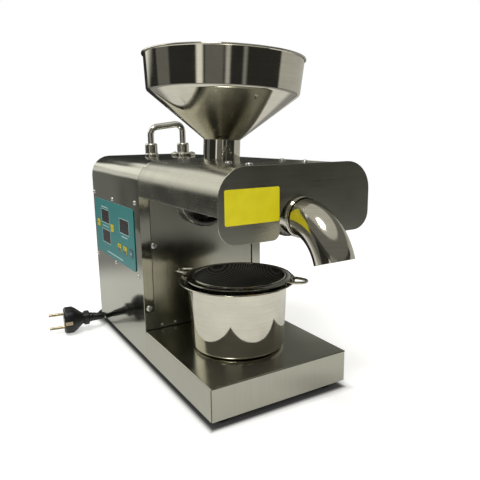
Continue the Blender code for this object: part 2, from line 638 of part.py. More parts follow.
def barrel_line():
    """Barrel with its flange, feed opening and oil slots, and what is fitted round and in front of it."""
    flange_back = CABINET_FRONT + SHEET
    flange_front = flange_back - BARREL_FLANGE_DEPTH
    barrel_back = flange_back - 0.004
    at = (0, 0, AXIS_HEIGHT)
    barrel = turned(
        "press_barrel",
        [(BARREL_BORE, BARREL_FRONT), (BARREL_RADIUS, BARREL_FRONT), (BARREL_RADIUS, barrel_back - GAP),
         (BARREL_BORE, barrel_back - GAP)],
        CAST, at=at, turn=ALONG_Y, steps=24,
    )
    feed = disc(
        "feed_opening", FEED_RADIUS, BARREL_RADIUS + 0.01, None, (0, HOPPER_STATION, AXIS_HEIGHT), sides=24
    )
    cut(barrel, feed)
    first = POT_PLACE[1] - SLOT_PITCH * (SLOT_COUNT - 1) / 2
    for i in range(SLOT_COUNT):
        y = first + i * SLOT_PITCH
        low = AXIS_HEIGHT - BARREL_RADIUS - 0.001
        slot = box(
            f"oil_slot_{i}", (-0.012, y - SLOT_WIDTH / 2, low), (0.012, y + SLOT_WIDTH / 2, low + 0.010),
            None
        )
        cut(barrel, slot)
    bore = BARREL_RADIUS + GAP
    spigot = 0.0180
    turned(
        "barrel_flange",
        [(bore, flange_front + 0.002), (BARREL_FLANGE_RADIUS - 0.0055, flange_front + BARREL_FLANGE_RECESS),
         (BARREL_FLANGE_RADIUS - 0.0045, flange_front), (BARREL_FLANGE_RADIUS - 0.001, flange_front),
         (BARREL_FLANGE_RADIUS, flange_front + 0.001), (BARREL_FLANGE_RADIUS, flange_back),
         (spigot, flange_back), (spigot, PLATE_FRONT + 0.002), (BARREL_BORE, PLATE_FRONT + 0.002),
         (BARREL_BORE, barrel_back), (bore, barrel_back)],
        STEEL, at=at, turn=ALONG_Y, steps=28,
    )
    throat_top = INNER_TOP - 0.001
    throat = turned(
        "feed_throat",
        [(FEED_RADIUS, AXIS_HEIGHT), (NECK_RADIUS + THROAT_WALL, AXIS_HEIGHT),
         (NECK_RADIUS + THROAT_WALL, throat_top), (NECK_RADIUS + 0.0008, throat_top),
         (NECK_RADIUS + 0.0008, NECK_LEDGE), (FEED_RADIUS, NECK_LEDGE)],
        STEEL, at=(0, HOPPER_STATION, 0), steps=24,
    )
    saddle = disc(
        "throat_saddle", BARREL_RADIUS + GAP, 0.08, None, (0, HOPPER_STATION - 0.04, AXIS_HEIGHT), ALONG_Y,
        sides=32
    )
    underside = box(
        "throat_underside", (-0.04, HOPPER_STATION - 0.04, AXIS_HEIGHT - 0.04),
        (0.04, HOPPER_STATION + 0.04, AXIS_HEIGHT + 0.006), None,
    )
    cut(throat, saddle, underside)
    band_middle = HEATER_STATION
    inner = BARREL_RADIUS + GAP
    outer = inner + HEATER_THICKNESS
    band = turned(
        "heater_band",
        [(inner, band_middle - HEATER_WIDTH / 2), (outer, band_middle - HEATER_WIDTH / 2),
         (outer, band_middle + HEATER_WIDTH / 2), (inner, band_middle + HEATER_WIDTH / 2)],
        BRASS, at=at, turn=ALONG_Y, steps=32,
    )
    split = box(
        "band_split", (-0.001, band_middle - HEATER_WIDTH, AXIS_HEIGHT),
        (0.001, band_middle + HEATER_WIDTH, AXIS_HEIGHT + 0.04), None,
    )
    lugs = box(
        "band_lugs", (-0.005, band_middle - 0.008, AXIS_HEIGHT + outer - 0.001),
        (0.005, band_middle + 0.008, AXIS_HEIGHT + outer + 0.007), None,
    )
    joined(band, lugs)
    cut(band, split)
    turned(
        "temperature_probe",
        [(0, 0), (0.0022, 0), (0.0022, 0.004), (0.0045, 0.004), (0.0045, 0.009), (0.0020, 0.009),
         (0.0020, 0.014),
         (0, 0.014)],
        BRASS, at=(0, HEATER_STATION + HEATER_WIDTH / 2 + 0.0205, AXIS_HEIGHT + BARREL_RADIUS + GAP),
        steps=12,
    )
    nozzle_back = BARREL_FRONT - GAP
    nozzle_front = nozzle_back - NOZZLE_THICKNESS
    turned(
        "cake_nozzle",
        [(NOZZLE_BORE + 0.0030, nozzle_back), (BARREL_RADIUS - 0.0012, nozzle_back),
         (BARREL_RADIUS - 0.0012, nozzle_front), (NOZZLE_BORE, nozzle_front)],
        STEEL, at=at, turn=ALONG_Y, steps=24,
    )
    tube_back = nozzle_front - GAP
    bore = OUTLET_RADIUS + GAP
    collar_back = HEAD_FRONT - GAP
    turned(
        "outlet_collar",
        [(bore, collar_back), (COLLAR_RADIUS, collar_back), (COLLAR_RADIUS, COLLAR_FRONT + 0.0030),
         (COLLAR_RADIUS - 0.0007, COLLAR_FRONT + 0.0026), (COLLAR_RADIUS - 0.0003, COLLAR_FRONT),
         (bore + 0.0004, COLLAR_FRONT), (bore, BEND_START)],
        POLISHED, at=at, turn=ALONG_Y, steps=24,
    )
    mesh = bmesh.new()
    ring = [mesh.verts.new((x, tube_back, z)) for x, z in circle(0, AXIS_HEIGHT, OUTLET_RADIUS, 22)]
    loop = [mesh.edges.new((ring[i - 1], ring[i])) for i in range(len(ring))]
    straight = bmesh.ops.extrude_edge_only(mesh, edges=loop)["geom"]
    moved = [v for v in straight if isinstance(v, bmesh.types.BMVert)]
    bmesh.ops.translate(mesh, verts=moved, vec=(0, BEND_START - tube_back, 0))
    bmesh.ops.spin(
        mesh, geom=[g for g in straight if not isinstance(g, bmesh.types.BMFace)],
        cent=(0, BEND_START, AXIS_HEIGHT - OUTLET_BEND), axis=(1, 0, 0), angle=OUTLET_ANGLE, steps=7,
        use_duplicate=False,
    )
    elbow = from_bmesh("outlet_elbow", mesh, POLISHED, smooth=True)
    wall = elbow.modifiers.new("wall", "SOLIDIFY")
    wall.thickness = OUTLET_WALL
    wall.offset = -1
    wall.use_even_offset = True


def press_screw():
    """The press screw: a root that swells towards the nozzle inside one helical flight."""
    rear, front = CABINET_FRONT - SCREW_SETBACK, BARREL_FRONT + SCREW_NOSE
    shank_end = PLATE_BACK + SHANK_REACH
    root = turned(
        "press_screw",
        [(0, front - 0.0045), (0.0030, front - 0.0045), (SCREW_ROOT_FRONT, front + 0.004),
         (SCREW_ROOT_FRONT, 0.050), (SCREW_ROOT_REAR, HOPPER_STATION - 0.010),
         (SCREW_ROOT_REAR, rear - 0.016),
         (SCREW_RADIUS - 0.0010, rear - 0.011), (SCREW_RADIUS - 0.0010, rear), (SHANK_RADIUS, rear),
         (SHANK_RADIUS, shank_end),
         (0, shank_end)],
        CAST, at=(0, 0, AXIS_HEIGHT), turn=ALONG_Y, steps=14,
    )
    start, end = front + 0.008, rear - 0.006
    per_turn = 10
    steps = ceil((end - start) / SCREW_PITCH * per_turn)
    mesh = bmesh.new()
    thick_root, thick_tip = 0.0024, 0.0013
    section = [
        (0.0050, start - thick_root), (SCREW_RADIUS, start - thick_tip),
        (SCREW_RADIUS, start + thick_tip), (0.0050, start + thick_root),
    ]
    lead = radians(5)
    ring = [mesh.verts.new((r * cos(lead), r * sin(lead), y)) for r, y in section]
    face = mesh.faces.new(ring)
    bmesh.ops.spin(
        mesh, geom=[face, *face.edges, *face.verts], cent=(0, 0, 0), axis=(0, 0, 1),
        dvec=(0, 0, SCREW_PITCH / per_turn), angle=2 * pi * steps / per_turn, steps=steps,
        use_duplicate=False,
    )
    flight = from_bmesh("screw_flight", mesh, None, at=(0, 0, AXIS_HEIGHT), turn=ALONG_Y)
    joined(root, flight)


def gear_outline(teeth, module, first=0.0):
    """Outline of a spur gear with straight flanks; a tooth is centred on the first angle, in degrees."""
    pitch = module * teeth / 2
    half_pitch = (pi * module / 2 - BACKLASH * module) / 2
    slope = tan(radians(20))
    tip = ADDENDUM * module
    levels = (
        (pitch - 1.25 * module, half_pitch + 1.05 * module * slope), (pitch + tip, half_pitch - tip * slope)
    )
    points = []
    for i in range(teeth):
        middle = radians(first) + 2 * pi * i / teeth
        for side in (-1, 1):
            for radius, half in levels[:: -side]:
                angle = middle + side * half / radius
                points.append((radius * cos(angle), radius * sin(angle)))
    return points


def gear(name, teeth, module, width, bore, finish, at, first):
    """A spur gear in the XZ plane, centred on its place along Y."""
    return outline(
        name, [gear_outline(teeth, module, first), circle(0, 0, bore, 20)], width, finish, at=at,
        turn=FACING_FRONT
    )


def hulled_discs(name, discs, front, back, finish):
    """One solid stretched round several discs (height, radius) that stand above each other."""
    mesh = bmesh.new()
    for z, radius in discs:
        for x, up in circle(0, z, radius, 24):
            for y in (front, back):
                mesh.verts.new((x, y, up))
    hull = bmesh.ops.convex_hull(mesh, input=mesh.verts[:], use_existing_faces=False)
    spare = {v for v in hull["geom_interior"] + hull["geom_unused"] if isinstance(v, bmesh.types.BMVert)}
    bmesh.ops.delete(mesh, geom=list(spare), context="VERTS")
    bmesh.ops.dissolve_limit(mesh, angle_limit=radians(0.5), verts=mesh.verts[:], edges=mesh.edges[:])
    return from_bmesh(name, mesh, finish)


def gearbox():
    """Mounting plate, housing, shafts, bearings and the two gear stages between motor and press screw."""
    plate_half = 0.75 * HALF
    plate_top = INNER_TOP - 0.0059
    shoulder = plate_top - 0.020
    plate = outline(
        "mounting_plate",
        [[(-plate_half, FLOOR_TOP + GAP), (plate_half, FLOOR_TOP + GAP), (plate_half, shoulder),
          (plate_half - 0.018, plate_top), (-plate_half + 0.018, plate_top), (-plate_half, shoulder)],
         circle(0, AXIS_HEIGHT, 0.0183, 32)],
        MOUNT_PLATE, DARK_STEEL, at=(0, (PLATE_FRONT + PLATE_BACK) / 2, 0), turn=FACING_FRONT,
    )
    lay_pocket = disc(
        "lay_pocket", LAY_SHAFT + GAP, 0.01, None, (0, PLATE_BACK - 0.004, LAY_HEIGHT), ALONG_Y, sides=16
    )
    cut(plate, lay_pocket)
    wall = HOUSING_WALL
    front = PLATE_BACK + GAP
    clear = 0.0008
    out_tip = MODULE_OUT * (TEETH_OUT / 2 + 1) + clear
    wheel_tip = MODULE_IN * (TEETH_WHEEL / 2 + 1) + clear
    motor_tip = 0.0115
    stack = [(AXIS_HEIGHT, out_tip), (LAY_HEIGHT, wheel_tip), (MOTOR_HEIGHT, motor_tip)]
    housing = hulled_discs("gearbox_housing", [(z, r + wall) for z, r in stack], front, HOUSING_BACK, CAST)
    rear_wall = 0.0070
    cavity = hulled_discs("gearbox_cavity", stack, front - 0.01, HOUSING_BACK - rear_wall, None)
    seat = disc(
        "bearing_seat", BEARING_RADIUS + GAP, rear_wall + 0.002, None,
        (0, HOUSING_BACK - rear_wall - 0.001, AXIS_HEIGHT),
        ALONG_Y, sides=32,
    )
    lay_seat = disc(
        "lay_seat", LAY_SHAFT + GAP, 0.0048, None, (0, HOUSING_BACK - rear_wall - 0.001, LAY_HEIGHT),
        ALONG_Y, sides=16
    )
    shaft_hole = disc(
        "shaft_hole", MOTOR_SHAFT + 0.001, 0.02, None, (0, HOUSING_BACK - 0.012, MOTOR_HEIGHT), ALONG_Y,
        sides=20
    )
    cut(housing, cavity, seat, lay_seat, shaft_hole)
    bearing_back = HOUSING_BACK - 0.0005
    bearing_front = HOUSING_BACK - rear_wall + 0.0005
    front_seat = PLATE_BACK + 0.0010
    race = 0.0045
    turned(
        "rear_bearing",
        [(JOURNAL + GAP, bearing_front), (BEARING_RADIUS, bearing_front), (BEARING_RADIUS, bearing_back),
         (JOURNAL + GAP, bearing_back)],
        POLISHED, at=(0, 0, AXIS_HEIGHT), turn=ALONG_Y, steps=24,
    )
    turned(
        "front_bearing",
        [(0.0100 + GAP, PLATE_FRONT + 0.002 + GAP), (0.0180, PLATE_FRONT + 0.002 + GAP),
         (0.0180, front_seat + race), (0.0100 + GAP, front_seat + race)],
        POLISHED, at=(0, 0, AXIS_HEIGHT), turn=ALONG_Y, steps=24,
    )
    shaft_front = PLATE_FRONT + 0.0035
    gear_front = OUT_PLANE - GEAR_WIDTH / 2
    gear_back = OUT_PLANE + GEAR_WIDTH / 2
    seat_radius = 0.0120
    socket = SHANK_RADIUS + GAP
    socket_end = PLATE_BACK + SHANK_REACH + GAP
    turned(
        "output_shaft",
        [(socket, shaft_front), (0.0100, shaft_front), (0.0100, gear_front - 0.002),
         (seat_radius, gear_front - 0.002),
         (seat_radius, gear_back), (JOURNAL, gear_back), (JOURNAL, HOUSING_BACK - 0.001),
         (0, HOUSING_BACK - 0.001), (0, socket_end), (socket, socket_end)],
        POLISHED, at=(0, 0, AXIS_HEIGHT), turn=ALONG_Y, steps=24,
    )
    gear(
        "output_gear", TEETH_OUT, MODULE_OUT, GEAR_WIDTH, seat_radius + GAP, DARK_STEEL,
        (0, OUT_PLANE, AXIS_HEIGHT), -90,
    )
    half_tooth = 180 / TEETH_PINION
    pinion = gear(
        "lay_gear", TEETH_PINION, MODULE_OUT, GEAR_WIDTH + 0.002, LAY_SHAFT - 0.001, DARK_STEEL,
        (0, OUT_PLANE, LAY_HEIGHT), 90 + half_tooth,
    )
    wheel = gear(
        "lay_wheel", TEETH_WHEEL, MODULE_IN, WHEEL_WIDTH, LAY_SHAFT - 0.001, None,
        (0, WHEEL_PLANE, LAY_HEIGHT), -90
    )
    lay_front = PLATE_BACK - 0.004 + GAP
    lay_back = HOUSING_BACK - rear_wall + 0.0038 - GAP
    lay = turned(
        "lay_shaft",
        [(0, lay_front), (LAY_SHAFT, lay_front), (LAY_SHAFT, OUT_PLANE + 0.004), (0.0070, OUT_PLANE + 0.004),
         (0.0070, WHEEL_PLANE + 0.004), (LAY_SHAFT, WHEEL_PLANE + 0.004), (LAY_SHAFT, lay_back),
         (0, lay_back)],
        None, at=(0, 0, LAY_HEIGHT), turn=ALONG_Y, steps=12,
    )
    joined(pinion, wheel, lay)


def motor():
    """Motor housing on the gearbox, its rotor with pinion, the fan and the cradle under it."""
    front = HOUSING_BACK + GAP
    back = front + MOTOR_LENGTH
    at = (0, 0, MOTOR_HEIGHT)
    inner = MOTOR_RADIUS - MOTOR_WALL
    bore = MOTOR_SHAFT + GAP
    bell = 0.004
    turned(
        "motor_housing",
        [(bore, front), (MOTOR_RADIUS - 0.004, front), (MOTOR_RADIUS, front + 0.004),
         (MOTOR_RADIUS, back - 0.008),
         (MOTOR_RADIUS - 0.008, back), (0.014, back), (0.014, back + 0.004), (bore, back + 0.004),
         (bore, back - bell),
         (inner - 0.006, back - bell), (inner, back - 0.010), (inner, front + bell), (bore, front + bell)],
        BLACK, at=at, turn=ALONG_Y, steps=20,
    )
    armature = inner - 0.008
    fan_front = back + 0.0075
    turned(
        "motor_rotor",
        [(0, WHEEL_PLANE - WHEEL_WIDTH / 2 - 0.001), (MOTOR_SHAFT, WHEEL_PLANE - WHEEL_WIDTH / 2 - 0.001),
         (MOTOR_SHAFT, front + 0.018), (armature, front + 0.018), (armature, back - 0.020),
         (MOTOR_SHAFT, back - 0.020),
         (MOTOR_SHAFT, fan_front + 0.0120), (0, fan_front + 0.0120)],
        DARK_STEEL, at=at, turn=ALONG_Y, steps=24,
    )
    gear(
        "motor_pinion", TEETH_MOTOR, MODULE_IN, WHEEL_WIDTH, MOTOR_SHAFT + GAP, BRASS,
        (0, WHEEL_PLANE, MOTOR_HEIGHT), 90 + 180 / TEETH_MOTOR,
    )
    hub = turned(
        "cooling_fan",
        [(MOTOR_SHAFT + GAP, fan_front), (0.0110, fan_front), (0.0110, fan_front + 0.010),
         (MOTOR_SHAFT + GAP, fan_front + 0.010)],
        BLACK, at=at, turn=ALONG_Y, steps=20,
    )
    mesh = bmesh.new()
    for i in range(FAN_BLADES):
        made = bmesh.ops.create_cube(mesh, size=1)
        bmesh.ops.scale(mesh, verts=made["verts"], vec=(FAN_RADIUS - 0.0090, 0.0125, 0.0014))
        bmesh.ops.translate(mesh, verts=made["verts"], vec=((FAN_RADIUS + 0.0090) / 2, 0, 0))
        pitch = Matrix.Rotation(radians(32), 4, "X")
        spread = Matrix.Rotation(2 * pi * i / FAN_BLADES, 4, "Z")
        bmesh.ops.transform(mesh, matrix=spread @ pitch, verts=made["verts"])
    blades = from_bmesh("fan_blades", mesh, None, at=(0, fan_front + 0.005, MOTOR_HEIGHT), turn=ALONG_Y)
    joined(hub, blades)
    half, foot, thick = MOTOR_RADIUS + 0.0040, FLOOR_TOP + GAP, 0.0020
    shelf = MOTOR_HEIGHT - MOTOR_RADIUS * 0.45
    saddle = [
        (-half, foot + thick / 2), (half, foot + thick / 2), (half, shelf),
        *arc(0, MOTOR_HEIGHT, MOTOR_RADIUS + 2 * GAP, -27, -153, 14), (-half, shelf),
    ]
    ends = (front + 0.22 * MOTOR_LENGTH, back - 0.22 * MOTOR_LENGTH)
    cradle = box(
        "motor_cradle", (-half - GAP, ends[0] - thick, foot), (half + GAP, ends[1] + thick, foot + thick),
        DARK_STEEL
    )
    for end, y in zip(("front", "rear"), ends):
        joined(cradle, outline(f"cradle_{end}", [saddle], thick, None, at=(0, y, 0), turn=FACING_FRONT))


def on_panel(places):
    """Stations of places that are given from the control panel's middle."""
    return [(PANEL_STATION + along, PANEL_HEIGHT + up) for along, up in places]


def control_cutters():
    """Openings in the left side: one behind each display window and one behind each key."""
    made = []
    for i, (y, z) in enumerate(on_panel(WINDOWS)):
        made.append(
            box(
                f"window_cut_{i}", (-HALF - 0.01, y - WINDOW[0] / 2 - 0.001, z - WINDOW[1] / 2 - 0.001),
                (-HALF + 0.01, y + WINDOW[0] / 2 + 0.001, z + WINDOW[1] / 2 + 0.001), None,
            )
        )
    for name, (y, z) in zip(KEYS, on_panel(KEYS.values())):
        made.append(
            disc(f"{name}_cut", KEY[1] / 2 - 0.001, 0.02, None, (-HALF - 0.01, y, z), (0, pi / 2, 0),
                sides=10)
        )
    return made


def controls():
    """Printed overlay with windows and keys on the left side, and the board behind it."""
    face = -HALF - GAP - OVERLAY / 2
    holes = [rounded_rectangle(y, z, WINDOW[0], WINDOW[1], 0.0002, 1) for y, z in on_panel(WINDOWS)]
    holes += [rounded_rectangle(y, z, KEY[0], KEY[1], 0.0012, 2) for y, z in on_panel(KEYS.values())]
    sheet = rounded_rectangle(PANEL_STATION, PANEL_HEIGHT, PANEL_LENGTH, PANEL_TALL, 0.004)
    mirrored = [[(-y, z) for y, z in loop] for loop in (sheet, *holes)]
    outline("control_overlay", mirrored, OVERLAY, TEAL, at=(face, 0, 0), turn=FACING_LEFT)
    switch_face = -HALF + SHEET + 0.0038
    for name, (y, z) in zip(KEYS, on_panel(KEYS.values())):
        finish = GREY_KEY if name == "key_stop" else YELLOW
        cap_low = -HALF - GAP - OVERLAY - KEY_PROUD
        cap_high = -HALF - 2 * GAP - KEY_TRAVEL
        cap = outline(
            name, [rounded_rectangle(0, 0, KEY[0] - 2 * GAP, KEY[1] - 2 * GAP, 0.0010, 2)],
            cap_high - cap_low, finish,
            at=((cap_low + cap_high) / 2, y, z), turn=FACING_LEFT,
        )
        stem = disc(
            f"{name}_stem", KEY[1] / 2 - 0.0022, switch_face - KEY_TRAVEL - GAP - cap_low - 0.0006, None,
            (cap_low + 0.0006, y, z), (0, pi / 2, 0), sides=16,
        )
        joined(cap, stem)
    wide, tall = PANEL_LENGTH / 2 - BOARD_INSET[0], PANEL_TALL / 2 - BOARD_INSET[1]
    board = box(
        "control_board", (BOARD_FACE, PANEL_STATION - wide, PANEL_HEIGHT - tall),
        (BOARD_FACE + 0.0016, PANEL_STATION + wide, PANEL_HEIGHT + tall), BOARD,
    )
    mesh = bmesh.new()
    for y, z in on_panel(KEYS.values()):
        made = bmesh.ops.create_cube(mesh, size=1)
        bmesh.ops.scale(mesh, verts=made["verts"], vec=(BOARD_FACE + 0.0004 - switch_face, 0.006, 0.006))
        bmesh.ops.translate(mesh, verts=made["verts"], vec=((BOARD_FACE + 0.0004 + switch_face) / 2, y, z))
    post = (-HALF + SHEET + GAP, 0.0030)
    wide, tall = wide - POST_INSET[0], tall - POST_INSET[1]
    for y in (PANEL_STATION - wide, PANEL_STATION + wide):
        for z in (PANEL_HEIGHT - tall, PANEL_HEIGHT + tall):
            made = bmesh.ops.create_cone(
                mesh, cap_ends=True, segments=12, radius1=post[1], radius2=post[1],
                depth=BOARD_FACE + 0.0004 - post[0]
            )
            middle = ((post[0] + BOARD_FACE + 0.0004) / 2, y, z)
            turning = Matrix.Translation(middle) @ Matrix.Rotation(pi / 2, 4, "Y")
            bmesh.ops.transform(mesh, matrix=turning, verts=made["verts"])
    for y, z in on_panel(WINDOWS):
        made = bmesh.ops.create_cube(mesh, size=1)
        front = -HALF - OVERLAY * 0.6
        size = (BOARD_FACE + 0.0004 - front, WINDOW[0] - 2 * GAP, WINDOW[1] - 2 * GAP)
        bmesh.ops.scale(mesh, verts=made["verts"], vec=size)
        bmesh.ops.translate(mesh, verts=made["verts"], vec=(front + size[0] / 2, y, z))
    joined(board, from_bmesh("board_fittings", mesh, None))


def hopper():
    """Sheet-metal hopper: rolled lip, cylinder, cone and neck in one shell."""
    curl = HOPPER_RIM_RADIUS + HOPPER_LIP
    crest = HOPPER_TOP - HOPPER_WALL - HOPPER_LIP
    lip = [
        (curl + HOPPER_LIP * cos(a), crest + HOPPER_LIP * sin(a)) for a in np.linspace(-0.5, pi, 4).tolist()
    ]
    points = [
        *lip,
        (HOPPER_RADIUS, CONE_TOP + 0.004), (HOPPER_RADIUS - 0.0012, CONE_TOP - 0.0006),
        (HOPPER_RADIUS - 0.0045, CONE_TOP - 0.0042), (NECK_RADIUS + 0.0010, NECK_TOP + 0.0006),
        (NECK_RADIUS, NECK_TOP - 0.0012), (NECK_RADIUS, NECK_LEDGE + GAP),
    ]
    turned("hopper", points, POLISHED, at=(0, HOPPER_STATION, 0), steps=30, wall=HOPPER_WALL)


def handle_foot(side, above):
    return (HANDLE_OFFSET + side * HANDLE_SPAN / 2, HANDLE_STATION, CASE_TOP + above)


def lifting_handle():
    """Bent rod with its ends through the cabinet's top, in two ferrules, one of them on a round flange."""
    low, high = HANDLE_HEIGHT - HANDLE_RISE / 2, HANDLE_HEIGHT + HANDLE_RISE / 2
    slope = atan2(HANDLE_RISE, HANDLE_SPAN)
    half, bend = HANDLE_SPAN / 2, HANDLE_BEND
    reach_left = bend * tan((pi / 2 - slope) / 2)
    reach_right = bend * tan((pi / 2 + slope) / 2)
    below = -0.006
    left = [
        (-half + bend - bend * cos(a), low - reach_left + bend * sin(a))
        for a in np.linspace(0, pi / 2 - slope, 5).tolist()
    ]
    right = [
        (half - bend + bend * cos(a), high - reach_right + bend * sin(a))
        for a in np.linspace(pi / 2 + slope, 0, 5).tolist()
    ]
    path = [(-half, below), *left, *right, (half, below)]
    x0, y0, z0 = HANDLE_OFFSET, HANDLE_STATION, CASE_TOP
    wire("lifting_handle", [(x0 + x, y0, z0 + z) for x, z in path], HANDLE_ROD, POLISHED, resolution=3)
    bore = HANDLE_ROD + GAP
    for name, side, base in (
        ("handle_ferrule_left", -1, FERRULE_RADIUS + 0.0012), ("handle_ferrule_right", 1, 0)
    ):
        foot = [(base, 0), (base, 0.0025), (FERRULE_RADIUS, 0.0045)] if base else [(FERRULE_RADIUS, 0.0045)]
        top = [
            (FERRULE_RADIUS, FERRULE_HEIGHT - 0.0015), (FERRULE_RADIUS - 0.0015, FERRULE_HEIGHT),
            (bore, FERRULE_HEIGHT)
        ]
        if not base:
            flange = HANDLE_FLANGE_RADIUS
            foot = [(flange, 0), (flange, 0.0024), (flange - 0.0012, 0.0036), (FERRULE_RADIUS, 0.0036)]
        turned(name, [(bore, 0), *foot, *top], POLISHED, at=handle_foot(side, GAP), steps=16)


def oil_pot():
    """Straight-sided catch pot with a flared lip, standing on the base under the oil slots."""
    x, y = POT_PLACE
    top = POT_HEIGHT
    turned(
        "oil_pot",
        [(POT_LIP_RADIUS, top - 0.0006), (POT_LIP_RADIUS - 0.0012, top - 0.0022),
         (POT_RADIUS_TOP + 0.0036, top - 0.0060),
         (POT_RADIUS_TOP + 0.0006, top - 0.0092), (POT_RADIUS_TOP, top - 0.0120), (POT_RADIUS_FOOT, 0.0050),
         (POT_RADIUS_FOOT - 0.0013, 0.0014), (POT_RADIUS_FOOT - 0.0050, 0), (0, 0)],
        POLISHED, at=(x, y, BASE_TOP + GAP), steps=28, wall=POT_WALL,
    )


def strainer():
    """Strainer that lies on the pot: a sloping ring, the bowl of fine mesh and two wire handles."""
    x, y = STRAINER_PLACE
    lip_top = BASE_TOP + GAP + POT_HEIGHT
    wire_middle = lip_top + GAP + STRAINER_WIRE
    inner, outer = STRAINER_RADIUS, STRAINER_RADIUS + STRAINER_RING
    crest = wire_middle + 0.0005
    turned(
        "strainer_ring",
        [(inner, crest - 0.0002), (inner + 0.0012, crest), (outer - 0.0016, crest - 0.0011),
         (outer - 0.0006, crest - 0.0004), (outer, crest - 0.0013), (outer - 0.0008, crest - 0.0024),
         (outer - 0.0022, crest - 0.0022), (inner + 0.0012, crest - 0.0012), (inner, crest - 0.0030)],
        POLISHED, at=(x, y, 0), steps=24,
    )
    depth = STRAINER_DEPTH
    bowl = [
        ((inner - GAP) * sin(a), crest - 0.0004 - depth * cos(a)) for a in np.linspace(pi / 2, 0, 6).tolist()
    ]
    bowl[-1] = (0, bowl[-1][1])
    turned("strainer_mesh", bowl, DARK_STEEL, at=(x, y, 0), steps=24, wall=0.0006)
    half = 0.0095
    start = outer + GAP
    tip = STRAINER_REACH - STRAINER_WIRE - half * 0.78
    root = [(start, half), (start + 0.004, half * 0.98), (start + 0.009, half * 0.86)]
    bow = [(tip + half * 0.78 * cos(a), half * 0.78 * sin(a)) for a in np.linspace(-1.35, 1.35, 6).tolist()]
    path = [(a, -b) for a, b in root] + bow + root[::-1]
    for end, turn in (("left", pi), ("right", 0)):
        wire(
            f"strainer_handle_{end}", [(a, b, 0) for a, b in path], STRAINER_WIRE, POLISHED,
            at=(x, y, wire_middle), turn=(0, 0, STRAINER_TURN + turn), resolution=1,
        )


